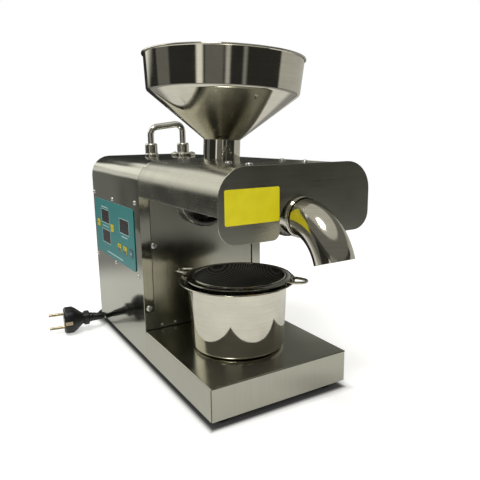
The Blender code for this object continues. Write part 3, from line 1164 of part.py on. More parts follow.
def mains_cord():
    """Cord from the gland over its coil to the plug that lies beside the cabinet."""
    gland_x, gland_z = GLAND_PLACE
    start = CABINET_BACK - GAP + 0.0240 + GAP
    r = CORD_RADIUS
    coil_x, coil_y = COIL_PLACE[0], CABINET_BACK + COIL_PLACE[1]
    coil_top = COIL_SECTION + GAP
    ring = COIL_RADIUS
    lead = [
        (gland_x, start, gland_z), (gland_x, start + 0.012, gland_z - 0.0015),
        (gland_x, start + 0.026, gland_z - 0.009), (gland_x, start + 0.038, coil_top + r + 0.0035),
        (coil_x + ring + 0.0001, coil_y - 0.014, coil_top + r + GAP),
        (coil_x + ring, coil_y, coil_top + r + GAP),
    ]
    wire("cord_lead", smooth_route(lead, 14), r, RUBBER, resolution=2)
    half = COIL_SECTION / 2
    section = circle(ring, half + GAP / 2, half, 8)
    turned("cord_coil", section, RUBBER, at=(coil_x, coil_y, 0), steps=20)
    floor, middle = r + GAP, PLUG_RADIUS + GAP
    plug = bpy.data.objects.new("plug_frame", None)
    plug.parent = origin
    plug.location = (-HALF + PLUG_PLACE[0], CABINET_BACK + PLUG_PLACE[1], middle)
    plug.rotation_euler = (0, 0, PLUG_TURN)
    parts.objects.link(plug)
    end_x = plug.location.x + (PLUG_LENGTH + GAP) * cos(PLUG_TURN)
    end_y = plug.location.y + (PLUG_LENGTH + GAP) * sin(PLUG_TURN)
    side = -HALF - r - 0.0012
    straight = 0.0008
    bend = (side - end_x - straight * cos(PLUG_TURN)) / (1 - sin(PLUG_TURN))
    fall = bend * (pi / 2 - PLUG_TURN) + 0.0210
    tail = [(end_x, end_y, middle)]
    for step in range(9):
        heading = PLUG_TURN + (pi / 2 - PLUG_TURN) * step / 8
        done = bend * (heading - PLUG_TURN) / fall
        tail.append((
            end_x + straight * cos(PLUG_TURN) + bend * (sin(heading) - sin(PLUG_TURN)),
            end_y + straight * sin(PLUG_TURN) + bend * (cos(PLUG_TURN) - cos(heading)),
            middle - (middle - floor) * (3 * done**2 - 2 * done**3),
        ))
    tail += [
        (side + 0.0006, CABINET_BACK + 0.0050, floor), (-0.0765, CABINET_BACK + 0.0174, floor),
        (-0.0660, CABINET_BACK + 0.0284, floor), (-0.0560, CABINET_BACK + 0.0414, floor),
        (-0.0500, CABINET_BACK + 0.0574, floor), (-0.0455, CABINET_BACK + 0.0784, floor + 0.0008),
        (coil_x - ring - half - r - GAP / 2, coil_y, half + GAP / 2),
    ]
    boot = [
        tail[0], *smooth_route(tail, 8, straight, BOOT_LENGTH - 0.0010), *smooth_route(tail, 1, BOOT_LENGTH)
    ]
    cord = [*smooth_route(tail, 1, BOOT_LENGTH + 2 * GAP), *smooth_route(tail, 35, BOOT_LENGTH + 0.0016)]
    wire("plug_boot", boot, BOOT_RADII[0], BLACK, resolution=3, thins=BOOT_RADII[1] / BOOT_RADII[0])
    wire("cord_tail", cord, r, RUBBER, resolution=2)
    along = (0, pi / 2, 0)
    bridge, strip = 0.0020, 0.0010
    notch = PLUG_RADIUS - 0.0022
    channel = 0.0095
    body = turned(
        "plug_body",
        [(0, 0), (PLUG_RADIUS - 0.0022, 0), (PLUG_RADIUS, 0.0022), (PLUG_RADIUS, 0.0112),
         (PLUG_RADIUS - 0.0030, 0.0160), (0.0082, 0.0240), (0.0078, 0.0260), (0.0098, 0.0268),
         (0.0098, PLUG_LENGTH - 0.0010), (0.0086, PLUG_LENGTH), (0, PLUG_LENGTH)],
        BLACK, turn=along, steps=18,
    )
    cutouts = [
        disc("bridge_seat", 0.0150, bridge + 0.001, None, (-0.001, 0, 0), along, sides=22),
        box("notch_near", (-0.001, -0.03, -0.0034), (0.0118, -notch, 0.0034), None),
        box("notch_far", (-0.001, notch, -0.0034), (0.0118, 0.03, 0.0034), None),
        box("strip_channel", (channel, -0.031, -0.0029), (channel + strip + 2 * GAP, 0.031, 0.0029), None),
    ]
    cut(body, *cutouts)
    pins = disc("plug_pins", 0.0150 - GAP, bridge - GAP, BRASS, (0, 0, 0), along, sides=22)
    rods = [
        disc(f"pin_{end}", PIN_RADIUS, PIN_LENGTH + 0.001, None, (-PIN_LENGTH, 0, z), along, sides=12)
        for end, z in (("upper", PIN_PITCH / 2), ("lower", -PIN_PITCH / 2))
    ]
    joined(pins, *rods)
    reach = notch + GAP + strip
    arms = (channel + GAP, channel + GAP + strip)
    clip = [
        (0.0010, reach), (arms[1], reach), (arms[1], -reach), (0.0010, -reach), (0.0010, -reach + strip),
        (arms[0], -reach + strip), (arms[0], reach - strip), (0.0010, reach - strip),
    ]
    strap = outline("plug_earth_clip", [clip], 0.0050, BRASS)
    for piece in (body, *cutouts, pins, *rods, strap):
        piece.parent = plug


base_and_feet()
cabinet()
rear_fittings()
head()
barrel_line()
press_screw()
gearbox()
motor()
controls()
hopper()
lifting_handle()
oil_pot()
strainer()
mains_cord()
bpy.context.view_layer.update()
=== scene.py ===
"""Finished look of a table-top screw oil press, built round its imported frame.

Stations are measured as on the machine: X across from its middle, Y back from the base's front face, Z up
from the surface it stands on. One shift along Y brings them into the frame.
"""

import json
from functools import cache
from math import atan2, cos, pi, radians, sin, tan

import bmesh
import bpy
import numpy as np
from bpy.props import FloatProperty, FloatVectorProperty, PointerProperty
from bpy.types import Operator, Panel, PropertyGroup
from mathutils import Matrix, Vector

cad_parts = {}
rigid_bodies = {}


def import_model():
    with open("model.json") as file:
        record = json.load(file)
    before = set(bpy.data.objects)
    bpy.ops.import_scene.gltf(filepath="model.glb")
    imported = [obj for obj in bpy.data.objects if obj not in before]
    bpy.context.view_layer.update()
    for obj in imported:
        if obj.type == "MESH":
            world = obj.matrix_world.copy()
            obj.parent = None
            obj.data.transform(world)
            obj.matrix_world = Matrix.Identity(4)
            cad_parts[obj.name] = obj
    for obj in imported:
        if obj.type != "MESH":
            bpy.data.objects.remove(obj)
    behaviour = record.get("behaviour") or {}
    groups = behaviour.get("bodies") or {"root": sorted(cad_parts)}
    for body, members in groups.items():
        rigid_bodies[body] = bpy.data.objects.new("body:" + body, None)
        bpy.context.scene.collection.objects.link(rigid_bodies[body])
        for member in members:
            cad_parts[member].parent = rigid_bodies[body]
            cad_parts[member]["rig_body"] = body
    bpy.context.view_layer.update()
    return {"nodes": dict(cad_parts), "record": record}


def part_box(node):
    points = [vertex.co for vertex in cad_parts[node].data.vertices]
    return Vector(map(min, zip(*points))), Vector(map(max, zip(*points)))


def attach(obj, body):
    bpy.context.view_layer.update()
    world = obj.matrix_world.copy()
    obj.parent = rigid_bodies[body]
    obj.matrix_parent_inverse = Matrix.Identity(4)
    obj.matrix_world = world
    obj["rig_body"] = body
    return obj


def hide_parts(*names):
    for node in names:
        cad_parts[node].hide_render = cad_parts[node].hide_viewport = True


bl_info = {
    "name": "Screw oil press",
    "version": (1, 0, 0),
    "blender": (4, 5, 0),
    "location": "View3D > Sidebar > Oil press",
    "description": "Builds the finished look of a table-top screw oil press round its packed frame",
    "category": "Object",
}

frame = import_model()

# Places taken from the frame, and the clearance its pieces keep
GAP = 0.0003
HEAD_FRONT = -0.0236
SHIFT = HEAD_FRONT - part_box("front_plate")[0].y
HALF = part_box("cabinet_cover")[1].x
CASE_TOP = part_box("cabinet_cover")[1].z
CABINET_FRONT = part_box("cabinet_cover")[0].y + SHIFT
CABINET_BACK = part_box("cabinet_cover")[1].y + SHIFT
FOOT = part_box("base_tray")[0].z
BASE_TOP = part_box("base_tray")[1].z
AXIS_HEIGHT = (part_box("outlet_collar")[0].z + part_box("outlet_collar")[1].z) / 2
OVERLAY_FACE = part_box("control_overlay")[0].x


def linear(code):
    """An sRGB hex colour as the linear values that a shader takes."""
    parts = [int(code[i : i + 2], 16) / 255 for i in (1, 3, 5)]
    return tuple(c / 12.92 if c <= 0.04045 else ((c + 0.055) / 1.055) ** 2.4 for c in parts)


def at(x, y, z):
    """A point given by its station, in the frame."""
    return Vector((x, y - SHIFT, z))


def middle(node):
    low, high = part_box(node)
    return (low + high) / 2


def axis_of(node):
    """The foot of the upright axis through a node's middle."""
    centre = middle(node)
    return Vector((centre.x, centre.y, 0))


def arc(across, up, radius, start, end, count, tall=None):
    """Points along an arc between two angles, or along an ellipse where it is this tall."""
    tall = radius if tall is None else tall
    return [(across + radius * cos(a), up + tall * sin(a)) for a in np.linspace(start, end, count).tolist()]


def length(name, description, default):
    return FloatProperty(
        name=name, description=description, default=default, min=0, precision=4, unit="LENGTH"
    )


def colour(name, description, code):
    return FloatVectorProperty(
        name=name, description=description, default=linear(code), min=0, max=1, size=3, subtype="COLOR"
    )


class PressSizes(PropertyGroup):
    """Sizes of the shapes that are modelled here and not taken from the frame."""

    tray_fold: length("Tray fold", "Outer radius of the base tray's folds", 0.0016)
    sheet: length("Sheet", "Thickness of the stainless sheet", 0.0012)
    seam: length("Corner seam", "Open seam between the folded sides of the base tray", 0.0009)
    hopper_fold: length(
        "Hopper fold", "Radius of the fold between the hopper's cone and its cylinder", 0.0018
    )
    hopper_lip: length("Hopper lip", "Radius of the rolled lip of the hopper", 0.0013)
    hopper_wall: length("Hopper wall", "Thickness of the hopper's sheet", 0.0009)
    outlet_bend: length("Outlet bend", "Radius of the outlet tube's bend, to its middle", 0.0470)
    outlet_wall: length("Outlet wall", "Wall of the outlet tube", 0.0015)
    handle_rod: length("Handle rod", "Radius of the lifting handle's rod", 0.0041)
    handle_bend: length("Handle bend", "Radius of the handle's bends, to the rod's middle", 0.0100)
    pot_foot: length("Pot foot", "Radius of the rounding at the pot's foot", 0.0050)
    strainer_wire: length("Strainer wire", "Radius of the strainer's handle wire", 0.0015)
    screw_head: length("Screw head", "Radius of the pan-head screws", 0.0035)
    cord: length("Cord", "Diameter of the mains cord", 0.0070)


class PressColours(PropertyGroup):
    """Colours of the press, as a user would choose them."""

    brushed: colour("Brushed stainless", "Sheet of the cabinet, the head and the base", "#AEADA0")
    polished: colour("Polished stainless", "Hopper, outlet, pot and handle", "#D2CEC0")
    overlay: colour("Overlay", "Printed film of the control panel", "#2F7F7D")
    keys: colour("Keys", "Membrane keys", "#D0BE18")
    stop_key: colour("Stop key", "Membrane key that stops the press", "#4C6468")
    windows: colour("Windows", "Smoked display windows", "#2B2422")
    label: colour("Label", "Bare plate on the head's front", "#D4C800")
    black: colour("Black plastic", "Plug, switch and cord", "#131416")
    brass: colour("Pins", "Nickel-plated brass of the plug's pins", "#B3A78A")


class PressStage(PropertyGroup):
    """Floor, light and camera."""

    floor_radius: length("Floor", "Radius of the pale floor", 1.10)
    key_light: FloatProperty(
        name="Key", description="Power of the key light", default=9.5, min=0, unit="POWER"
    )
    fill_light: FloatProperty(
        name="Fill", description="Power of the fill light", default=9.0, min=0, unit="POWER"
    )
    daylight: FloatProperty(name="Daylight", description="Even light from all round", default=0.62, min=0)
    lens: FloatProperty(
        name="Lens", description="Focal length of the camera", default=38.10, min=1, unit="CAMERA"
    )


def add(tree, kind, settings=None, links=None):
    """A shader node of this kind, with its settings and the sockets that feed it."""
    node = tree.nodes.new(kind)
    for key, value in (settings or {}).items():
        if key == "stops":
            ramp = node.color_ramp.elements
            while len(ramp) < len(value):
                ramp.new(0.5)
            for stop, (position, shade) in zip(ramp, value):
                stop.position = position
                stop.color = (*shade, 1) if len(shade) == 3 else shade
        elif isinstance(key, int) or key in node.inputs:
            node.inputs[key].default_value = value
        else:
            setattr(node, key, value)
    for key, source in (links or {}).items():
        tree.links.new(source, node.inputs[key])
    return node


def calc(tree, operation, *terms):
    """A maths node on sockets or numbers, as its output."""
    linked = {i: term for i, term in enumerate(terms) if isinstance(term, bpy.types.NodeSocket)}
    values = {i: term for i, term in enumerate(terms) if i not in linked}
    return add(tree, "ShaderNodeMath", {"operation": operation, **values}, linked).outputs[0]


def ranged(tree, value, start, end, low, high, kind="LINEAR"):
    """A value carried over from one range to another, and held at the ends."""
    return add(
        tree, "ShaderNodeMapRange",
        {"interpolation_type": kind, "From Min": start, "From Max": end, "To Min": low, "To Max": high},
        {"Value": value},
    ).outputs["Result"]


def noise(tree, place, scale, detail):
    return add(tree, "ShaderNodeTexNoise", {"Scale": scale, "Detail": detail}, {"Vector": place}).outputs[
        "Fac"
    ]


def tinted(tree, value, *stops):
    """A colour ramp along a value, from stops of (position, shade)."""
    return add(tree, "ShaderNodeValToRGB", {"stops": stops}, {"Fac": value}).outputs["Color"]


def bumped(tree, height, strength, distance, below=None, invert=False):
    """A bump of this distance in metres, on top of the one below."""
    links = {"Height": height, "Normal": below} if below else {"Height": height}
    settings = {"Strength": strength, "Distance": distance, "invert": invert}
    return add(tree, "ShaderNodeBump", settings, links).outputs["Normal"]


def scaled(shade, factor):
    return tuple(min(1, c * factor) for c in shade)


def blank(name):
    """A material with an empty tree, and Object coordinates in it."""
    made = bpy.data.materials.new(name)
    made.use_nodes = True
    made.node_tree.nodes.clear()
    return made, made.node_tree, add(made.node_tree, "ShaderNodeTexCoord").outputs["Object"]


def principled(name, pattern, **settings):
    """A material with one Principled shader, whose pattern gives the sockets that it feeds."""
    made, tree, place = blank(name)
    settings = {key.replace("_", " "): value for key, value in settings.items()}
    shader = add(tree, "ShaderNodeBsdfPrincipled", settings, pattern(tree, place))
    add(tree, "ShaderNodeOutputMaterial", links={"Surface": shader.outputs["BSDF"]})
    return made


def brushed_stainless(name, roughness, grain, wave, cloud):
    """Sheet of 304 stainless, belt-brushed along one axis: fine lines, and the slow waves of thin sheet."""
    shade = tuple(bpy.context.scene.press_colours.brushed)

    def pattern(tree, place):
        # a belt line is about 0.3 mm wide and 60 mm long; drawn 0.9 mm wide so that it shows
        scale = [1 / 0.060 if axis == grain else 1 / 0.0009 for axis in "XYZ"]
        lines = add(tree, "ShaderNodeMapping", {"Scale": scale}, {"Vector": place}).outputs[0]
        brush = noise(tree, lines, 1.0, 3.0)
        # handling marks of about 30 mm make the shine uneven, waves of 90 mm bend what it mirrors
        marks, waves = noise(tree, place, 1 / 0.030, 3.0), noise(tree, place, 1 / 0.090, 0.0)
        worn = ranged(tree, marks, 0.35, 0.65, roughness * (1 - cloud), roughness * (1 + cloud))
        fine = bumped(tree, brush, 0.05, 0.00002)
        return {
            "Base Color": tinted(tree, brush, (0.30, scaled(shade, 0.95)), (0.70, scaled(shade, 1.04))),
            "Roughness": calc(tree, "ADD", worn, ranged(tree, brush, 0.3, 0.7, -0.02, 0.02)),
            "Normal": bumped(tree, waves, 1.0, wave, fine),
        }

    return principled(name, pattern, Metallic=1.0)


def polished_stainless(name, roughness, code=None):
    """Spun or drawn stainless with a buffed shine: clear reflections, with faint buffing clouds."""
    shade = linear(code) if code else tuple(bpy.context.scene.press_colours.polished)

    def pattern(tree, place):
        # buffing clouds of about 20 mm, and hairlines of 0.8 mm that run round the spun pieces
        clouds = noise(tree, place, 1 / 0.020, 4.0)
        scale = (1 / 0.040, 1 / 0.040, 1 / 0.0008)
        rings = add(tree, "ShaderNodeMapping", {"Scale": scale}, {"Vector": place})
        hair = noise(tree, rings.outputs[0], 1.0, 2.0)
        both = calc(tree, "MULTIPLY", clouds, hair)
        return {
            "Base Color": tinted(tree, both, (0.14, scaled(shade, 0.90)), (0.36, scaled(shade, 1.04))),
            "Roughness": ranged(tree, clouds, 0.35, 0.70, roughness * 0.65, roughness * 1.35),
            "Normal": bumped(tree, hair, 0.08, 0.00002),
        }

    return principled(name, pattern, Metallic=1.0)


def woven_gauze(name, shade):
    """Woven stainless gauze: wires at 1.6 mm, drawn coarse enough to show, with the holes between them
    painted dark for the shade seen through them.
    """
    def pattern(tree, place):
        sides = add(tree, "ShaderNodeSeparateXYZ", links={"Vector": place}).outputs
        waves = []
        for axis in "XY":
            turn = calc(tree, "MULTIPLY", sides[axis], pi / 0.0016)
            waves.append(calc(tree, "ABSOLUTE", calc(tree, "SINE", turn)))
        hole_shade = calc(tree, "MULTIPLY", *waves)
        return {
            # the holes are painted dark: painted shade, for the dark that shows through them
            "Base Color": tinted(tree, hole_shade, (0.15, shade), (0.50, scaled(shade, 0.20))),
            "Normal": bumped(tree, hole_shade, 0.5, 0.0003, invert=True),
        }

    return principled(name, pattern, Metallic=0.7, Roughness=0.40)


# Plain finishes: a colour of the press or a hex code, metal or not, roughness, the size of the specks and
# the depth of their surface in metres, how far they change the shade, the coat and the strength of the shine
FINISHES = {
    # PVC sheath with a soft shine and the faint pull marks of its extrusion
    "pvc_sheath": ("black", 0, 0.42, 0.006, 0.00005),
    # moulded ABS, satin from the tool, with a coat of handling shine
    "moulded_abs": ("black", 0, 0.34, 0.0010, 0.00003, 0.12, 0.2),
    # moulded nylon of switch and fan, duller than the plug
    "moulded_nylon": ("black", 0, 0.40, 0.0010, 0.00003),
    # matt rubber of the feet, with the grain of its mould
    "moulded_rubber": ("#1B1B1C", 0, 0.62, 0.0012, 0.00008),
    # dark strip painted where a flange's edge throws its shadow line on the panel: a painted shadow
    "sealing_strip": ("#14130F", 0, 0.55, 0.0020, 0.00003),
    # nickel-plated brass, a little dull
    "plated_brass": ("brass", 1, 0.30, 0.004, 0.00003),
    # zinc plate: grey and dull on sheet, bright on screws
    "zinc_sheet": ("#8E9294", 1, 0.38, 0.004, 0.00002),
    "zinc_screws": ("#DEDDD6", 1, 0.34, 0.003, 0.00002),
    "zinc_top_screws": ("#D3D3CE", 1, 0.24, 0.003, 0.00002),
    "zinc_flange_screws": ("#A9ABAA", 1, 0.30, 0.003, 0.00002),
    # dirt and shadow in a screw's cross
    "screw_recess": ("#2A2A28", 1, 0.55, 0.002, 0.00002),
    # satin polyester films, with a faint orange peel
    "yellow_film": ("label", 0, 0.38, 0.010, 0.00002, 0.05),
    "printed_polyester": ("overlay", 0, 0.34, 0.0030, 0.00002, 0.04),
    "key_film": ("keys", 0, 0.36, 0.0020, 0.00002, 0.05),
    "stop_key_film": ("stop_key", 0, 0.36, 0.0020, 0.00002, 0.05),
    # flat screen-printed ink
    "printed_white": ("#B9CFCD", 0, 0.40, 0.0020, 0.00001, 0.04),
    "printed_dark": ("#3B3A22", 0, 0.40, 0.0020, 0.00001, 0.04),
    # dark acrylic pane with a weak shine, and the digits that it half hides
    "smoked_acrylic": ("windows", 0, 0.22, 0.0200, 0.000002, 0.10, 0.0, 0.2),
    "unlit_segments": ("#37302D", 0, 0.40, 0.0020, 0.00001, 0.05),
    # green lacquer over the tracks of a circuit board
    "circuit_board_lacquer": ("#1F4A2C", 0, 0.45, 0.0015, 0.00005),
    # sand-cast iron with an as-cast skin
    "sand_cast_iron": ("#5A5957", 1, 0.52, 0.0020, 0.00020),
    # ground and hardened steel with a film of oil
    "ground_gear_steel": ("#8C8A85", 1, 0.26, 0.0030, 0.00003, 0.12, 0.3),
    # steel and brass straight off the lathe
    "turned_steel": ("#9B9994", 1, 0.28, 0.0020, 0.00003),
    "turned_brass": ("#B08D4F", 1, 0.30, 0.0030, 0.00003),
    # stoved black paint of the motor, half matt
    "stoved_black_paint": ("#1C1D1F", 0, 0.35, 0.0015, 0.00004),
}


@cache
def plain(name):
    """The plain finish of this name, made once: its specks change its shade, its shine and its surface."""
    return specked(name, *FINISHES[name])


def specked(name, code, metal, roughness, size, depth, change=0.12, coat=0.0, shine=0.5):
    shade = linear(code) if code[0] == "#" else tuple(getattr(bpy.context.scene.press_colours, code))

    def pattern(tree, place):
        specks = noise(tree, place, 1 / size, 4.0)
        return {
            "Base Color": tinted(
                tree, specks, (0.3, scaled(shade, 1 - change)), (0.7, scaled(shade, 1 + change))
            ),
            "Roughness": ranged(tree, specks, 0.3, 0.7, roughness * 0.85, min(1, roughness * 1.15)),
            "Normal": bumped(tree, specks, 0.4, depth),
        }

    return principled(
        name, pattern, Metallic=metal, Coat_Weight=coat, Coat_Roughness=0.12, Specular_IOR_Level=shine
    )


def piece_of(name, data, material, body, hides=()):
    """Puts a finished mesh or curve into the scene, riding on its body."""
    data.materials.clear()
    data.materials.append(material)
    piece = bpy.data.objects.new(name, data)
    bpy.context.scene.collection.objects.link(piece)
    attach(piece, body)
    if hides:
        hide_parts(*hides)
    return piece


def solid_of(name, mesh, material, body, slot, hides=(), soft=32, wall=0.0, edge=0.0, segments=3):
    """A bmesh as a piece: normals out, smooth but for its sharp edges, with wall and eased edges."""
    bmesh.ops.remove_doubles(mesh, verts=mesh.verts, dist=1e-6)
    bmesh.ops.recalc_face_normals(mesh, faces=mesh.faces)
    for face in mesh.faces:
        face.smooth = True
    for line in mesh.edges:
        line.smooth = len(line.link_faces) == 2 and line.calc_face_angle(0) < radians(soft)
    data = bpy.data.meshes.new(name)
    mesh.to_mesh(data)
    mesh.free()
    piece = piece_of(name, data, material, body, hides)
    if wall:
        shell = piece.modifiers.new("wall", "SOLIDIFY")
        shell.thickness = abs(wall)
        shell.offset = -1 if wall > 0 else 1
        shell.use_even_offset = True
    if edge:
        ease = piece.modifiers.new("edge", "BEVEL")
        ease.width = edge
        ease.segments = segments
        ease.limit_method = "ANGLE"
        ease.angle_limit = radians(40)
        ease.harden_normals = True
        ease.use_clamp_overlap = False
    return piece


def node_body(node):
    return frame["nodes"][node]["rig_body"]


def node_slot(node):
    return next(row["material_slot"] for row in frame["record"]["subparts"] if row["node"] == node)


def in_place_of(node, name, mesh, material, soft, **settings):
    """A finished piece that stands for one node of the frame."""
    return solid_of(name, mesh, material, node_body(node), node_slot(node), (node,), soft, **settings)


def dressed(node, material, edge=0.0003, soft=30):
    """The frame's own solid with its triangles merged, its bends smooth and its edges eased."""
    mesh = bmesh.new()
    mesh.from_mesh(frame["nodes"][node].data)
    bmesh.ops.remove_doubles(mesh, verts=mesh.verts, dist=2e-6)
    bmesh.ops.dissolve_limit(mesh, angle_limit=radians(0.6), verts=mesh.verts, edges=mesh.edges)
    return in_place_of(node, f"{node}_finished", mesh, material, soft, edge=edge, segments=2)


def painted(finish, *nodes):
    """The frame's own solids, left as they are, in a plain finish."""
    for node in nodes:
        slots = frame["nodes"][node].data.materials
        slots.clear()
        slots.append(plain(finish))


def rounded(mesh, corners, radius, segments, affect="VERTICES"):
    """Rounds corners of a flat outline, or edges."""
    bmesh.ops.bevel(
        mesh, geom=corners, offset=radius, offset_type="OFFSET", segments=segments, profile=0.5,
        affect=affect,
        material=-1,
    )


def turned(profile, place, roundings=None, turn=None, steps=96, closed=False):
    """A profile of (radius, height) points spun round Z, some of its corners rounded, turned and placed."""
    mesh = bmesh.new()
    verts = [mesh.verts.new((radius, 0, height)) for radius, height in profile]
    pairs = list(zip(verts, verts[1:] + verts[:1]))
    for pair in pairs if closed else pairs[:-1]:
        mesh.edges.new(pair)
    for index, radius in (roundings or {}).items():
        rounded(mesh, [verts[index]], radius, 6)
    bmesh.ops.spin(
        mesh, geom=mesh.verts[:] + mesh.edges[:], cent=(0, 0, 0), axis=(0, 0, 1), angle=2 * pi, steps=steps,
        use_merge=True,
    )
    matrix = Matrix.Translation(place)
    if turn:
        matrix = matrix @ turn
    bmesh.ops.transform(mesh, matrix=matrix, verts=mesh.verts)
    return mesh


ALONG_Y = Matrix.Rotation(-pi / 2, 4, "X")


def plate(width, tall, depth, rounding, matrix):
    """A flat plate with round corners, its face towards +Z before it is placed."""
    mesh = bmesh.new()
    made = bmesh.ops.create_grid(mesh, x_segments=1, y_segments=1, size=0.5)
    bmesh.ops.scale(mesh, verts=made["verts"], vec=(width, tall, 1))
    if rounding:
        rounded(mesh, mesh.verts[:], rounding, 5)
    raised = bmesh.ops.extrude_face_region(mesh, geom=mesh.faces[:])
    moved = [v for v in raised["geom"] if isinstance(v, bmesh.types.BMVert)]
    bmesh.ops.translate(mesh, verts=moved, vec=(0, 0, depth))
    bmesh.ops.transform(mesh, matrix=matrix, verts=mesh.verts)
    return mesh


def on(side, place):
    """Puts a piece made to face +Z on this side of the press, with its up kept up."""
    return Matrix.Translation(place) @ {
        "left": Matrix(((0, 0, -1), (-1, 0, 0), (0, 1, 0))).to_4x4(),
        "front": Matrix(((1, 0, 0), (0, 0, -1), (0, 1, 0))).to_4x4(),
        "back": Matrix(((-1, 0, 0), (0, 0, 1), (0, 1, 0))).to_4x4(),
        "right": Matrix(((0, 0, 1), (1, 0, 0), (0, 1, 0))).to_4x4(),
        "up": Matrix.Identity(4),
    }[side]


def rod(name, points, radius, material, body, hides=(), radii=None, resolution=6):
    """A rod, wire or cord of this radius along the points."""
    data = bpy.data.curves.new(name, "CURVE")
    data.dimensions = "3D"
    data.bevel_depth = radius
    data.bevel_resolution = resolution
    data.use_fill_caps = True
    spline = data.splines.new("POLY")
    spline.points.add(len(points) - 1)
    for i, point in enumerate(points):
        spline.points[i].co = (*point, 1)
        spline.points[i].radius = radii[i] if radii else 1.0
    spline.use_smooth = True
    return piece_of(name, data, material, body, hides)


def smooth_route(points, count, start=0.0, end=None):
    """Points at even spacing along a smooth curve through the route's own points, between two distances."""
    route = np.array([tuple(p) for p in points])
    knots = np.concatenate([[0], np.cumsum(np.linalg.norm(np.diff(route, axis=0), axis=1))])
    slopes = np.gradient(route, knots, axis=0)
    fine = []
    for i in range(len(route) - 1):
        span = knots[i + 1] - knots[i]
        for t in np.linspace(0, 1, 24, endpoint=False):
            a, b, c, d = 2 * t**3 - 3 * t**2 + 1, t**3 - 2 * t**2 + t, -2 * t**3 + 3 * t**2, t**3 - t**2
            fine.append(a * route[i] + b * span * slopes[i] + c * route[i + 1] + d * span * slopes[i + 1])
    fine = np.array(fine + [route[-1]])
    run = np.concatenate([[0], np.cumsum(np.linalg.norm(np.diff(fine, axis=0), axis=1))])
    even = np.linspace(start, run[-1] if end is None else end, count)
    return [tuple(float(np.interp(s, run, fine[:, k])) for k in range(3)) for s in even]


def joined(name, meshes, material, body, slot, **settings):
    """Several bmeshes as one piece."""
    whole = bmesh.new()
    for mesh in meshes:
        part = bpy.data.meshes.new(name)
        mesh.to_mesh(part)
        mesh.free()
        whole.from_mesh(part)
        bpy.data.meshes.remove(part)
    return solid_of(name, whole, material, body, slot, **settings)


def screw_mesh(radius):
    """A pan-head screw with a cross recess, its head standing on Z = 0."""
    tall = radius * 0.62
    head = turned(
        [(radius, 0), (radius, tall * 0.35), (radius * 0.78, tall * 0.82), (radius * 0.40, tall), (0, tall)],
        (0, 0, 0), {1: radius * 0.15, 2: radius * 0.2}, steps=28,
    )
    for size in ((radius * 1.10, radius * 0.26), (radius * 0.26, radius * 1.10)):
        made = bmesh.ops.create_cube(head, size=1)
        bmesh.ops.scale(head, verts=made["verts"], vec=(*size, tall * 0.10))
        bmesh.ops.translate(head, verts=made["verts"], vec=(0, 0, tall * 0.985))
        for face in {f for v in made["verts"] for f in v.link_faces}:
            face.material_index = 1
    return head


def screws(name, places, side, radius, steel="zinc_screws"):
    """Pan-head screws on one side of the press."""
    meshes = []
    for i, place in enumerate(places):
        meshes.append(screw_mesh(radius))
        matrix = on(side, place) @ Matrix.Rotation(0.5 + 1.1 * i, 4, "Z")
        bmesh.ops.transform(meshes[-1], matrix=matrix, verts=meshes[-1].verts)
    piece = joined(name, meshes, plain(steel), "press_body", "zinc_plated_steel", soft=40)
    piece.data.materials.append(plain("screw_recess"))


class PressPiece:
    """Builds one piece or group from the sizes and colours in the scene"""

    def execute(self, context):
        self.build(context.scene.press_sizes)
        return {"FINISHED"}


class PRESS_OT_camera(Operator):
    """Sets up the camera at the viewing angle of the press"""

    bl_idname = "press.camera"
    bl_label = "Camera"

    def execute(self, context):
        data = bpy.data.cameras.new("camera")
        data.lens = context.scene.press_stage.lens
        data.sensor_width = 36
        data.clip_start = 0.01
        camera = bpy.data.objects.new("camera", data)
        context.scene.collection.objects.link(camera)
        # place, line of sight and upright fitted to the edges of base, cabinet and head in the photo
        place, sight = (-0.27042, -0.50823, 0.26473), (0.5007, 0.8419, -0.2012)
        upright = (0.1143, 0.1661, 0.9795)
        back = -Vector(sight).normalized()
        right = Vector(upright).cross(back).normalized()
        turn = Matrix((right, back.cross(right), back)).transposed().to_4x4()
        camera.matrix_world = Matrix.Translation(place) @ turn
        context.scene.camera = camera
        return {"FINISHED"}


# Plain grey cards that stand round the press and show in its steel, in rows from the table to the ceiling:
# the height in degrees where a row ends, the blur of that edge, the grey between the cards, and for each
# card its first and last azimuth and its brightness
CARDS = (
    (-9, 3, 0.18, ((-20, 50, 0.40), (94, 120, 0.40))),
    (6, 3, 0.15, (
        (-157, -148, 0.80), (-145, -120, 0.35), (-117, -111, 0.60), (-93, -88, 0.45), (-35, 50, 0.60),
        (96, 110, 0.40), (135, 160, 0.35),
    )),
    (13, 3, 0.15, (
        (-157, -148, 0.80), (-145, -120, 0.35), (-117, -111, 0.60), (-93, -88, 0.45), (-35, 50, 0.60),
        (101, 127, 0.80), (135, 160, 0.35),
    )),
    (21, 3, 0.20, ((-149, -112, 0.45), (-20, 50, 0.55), (96, 140, 0.95))),
    (50, 6, 0.36, ((86, 152, 0.90),)),
    (90, 5, 0.62, ()),
)
# blur of a card's upright edges in degrees, radius of the dome that carries the cards, and the height on the
# press that the lamps are aimed at
CARD_BLUR = 3
DOME = 6
LAMP_AIM = 0.15


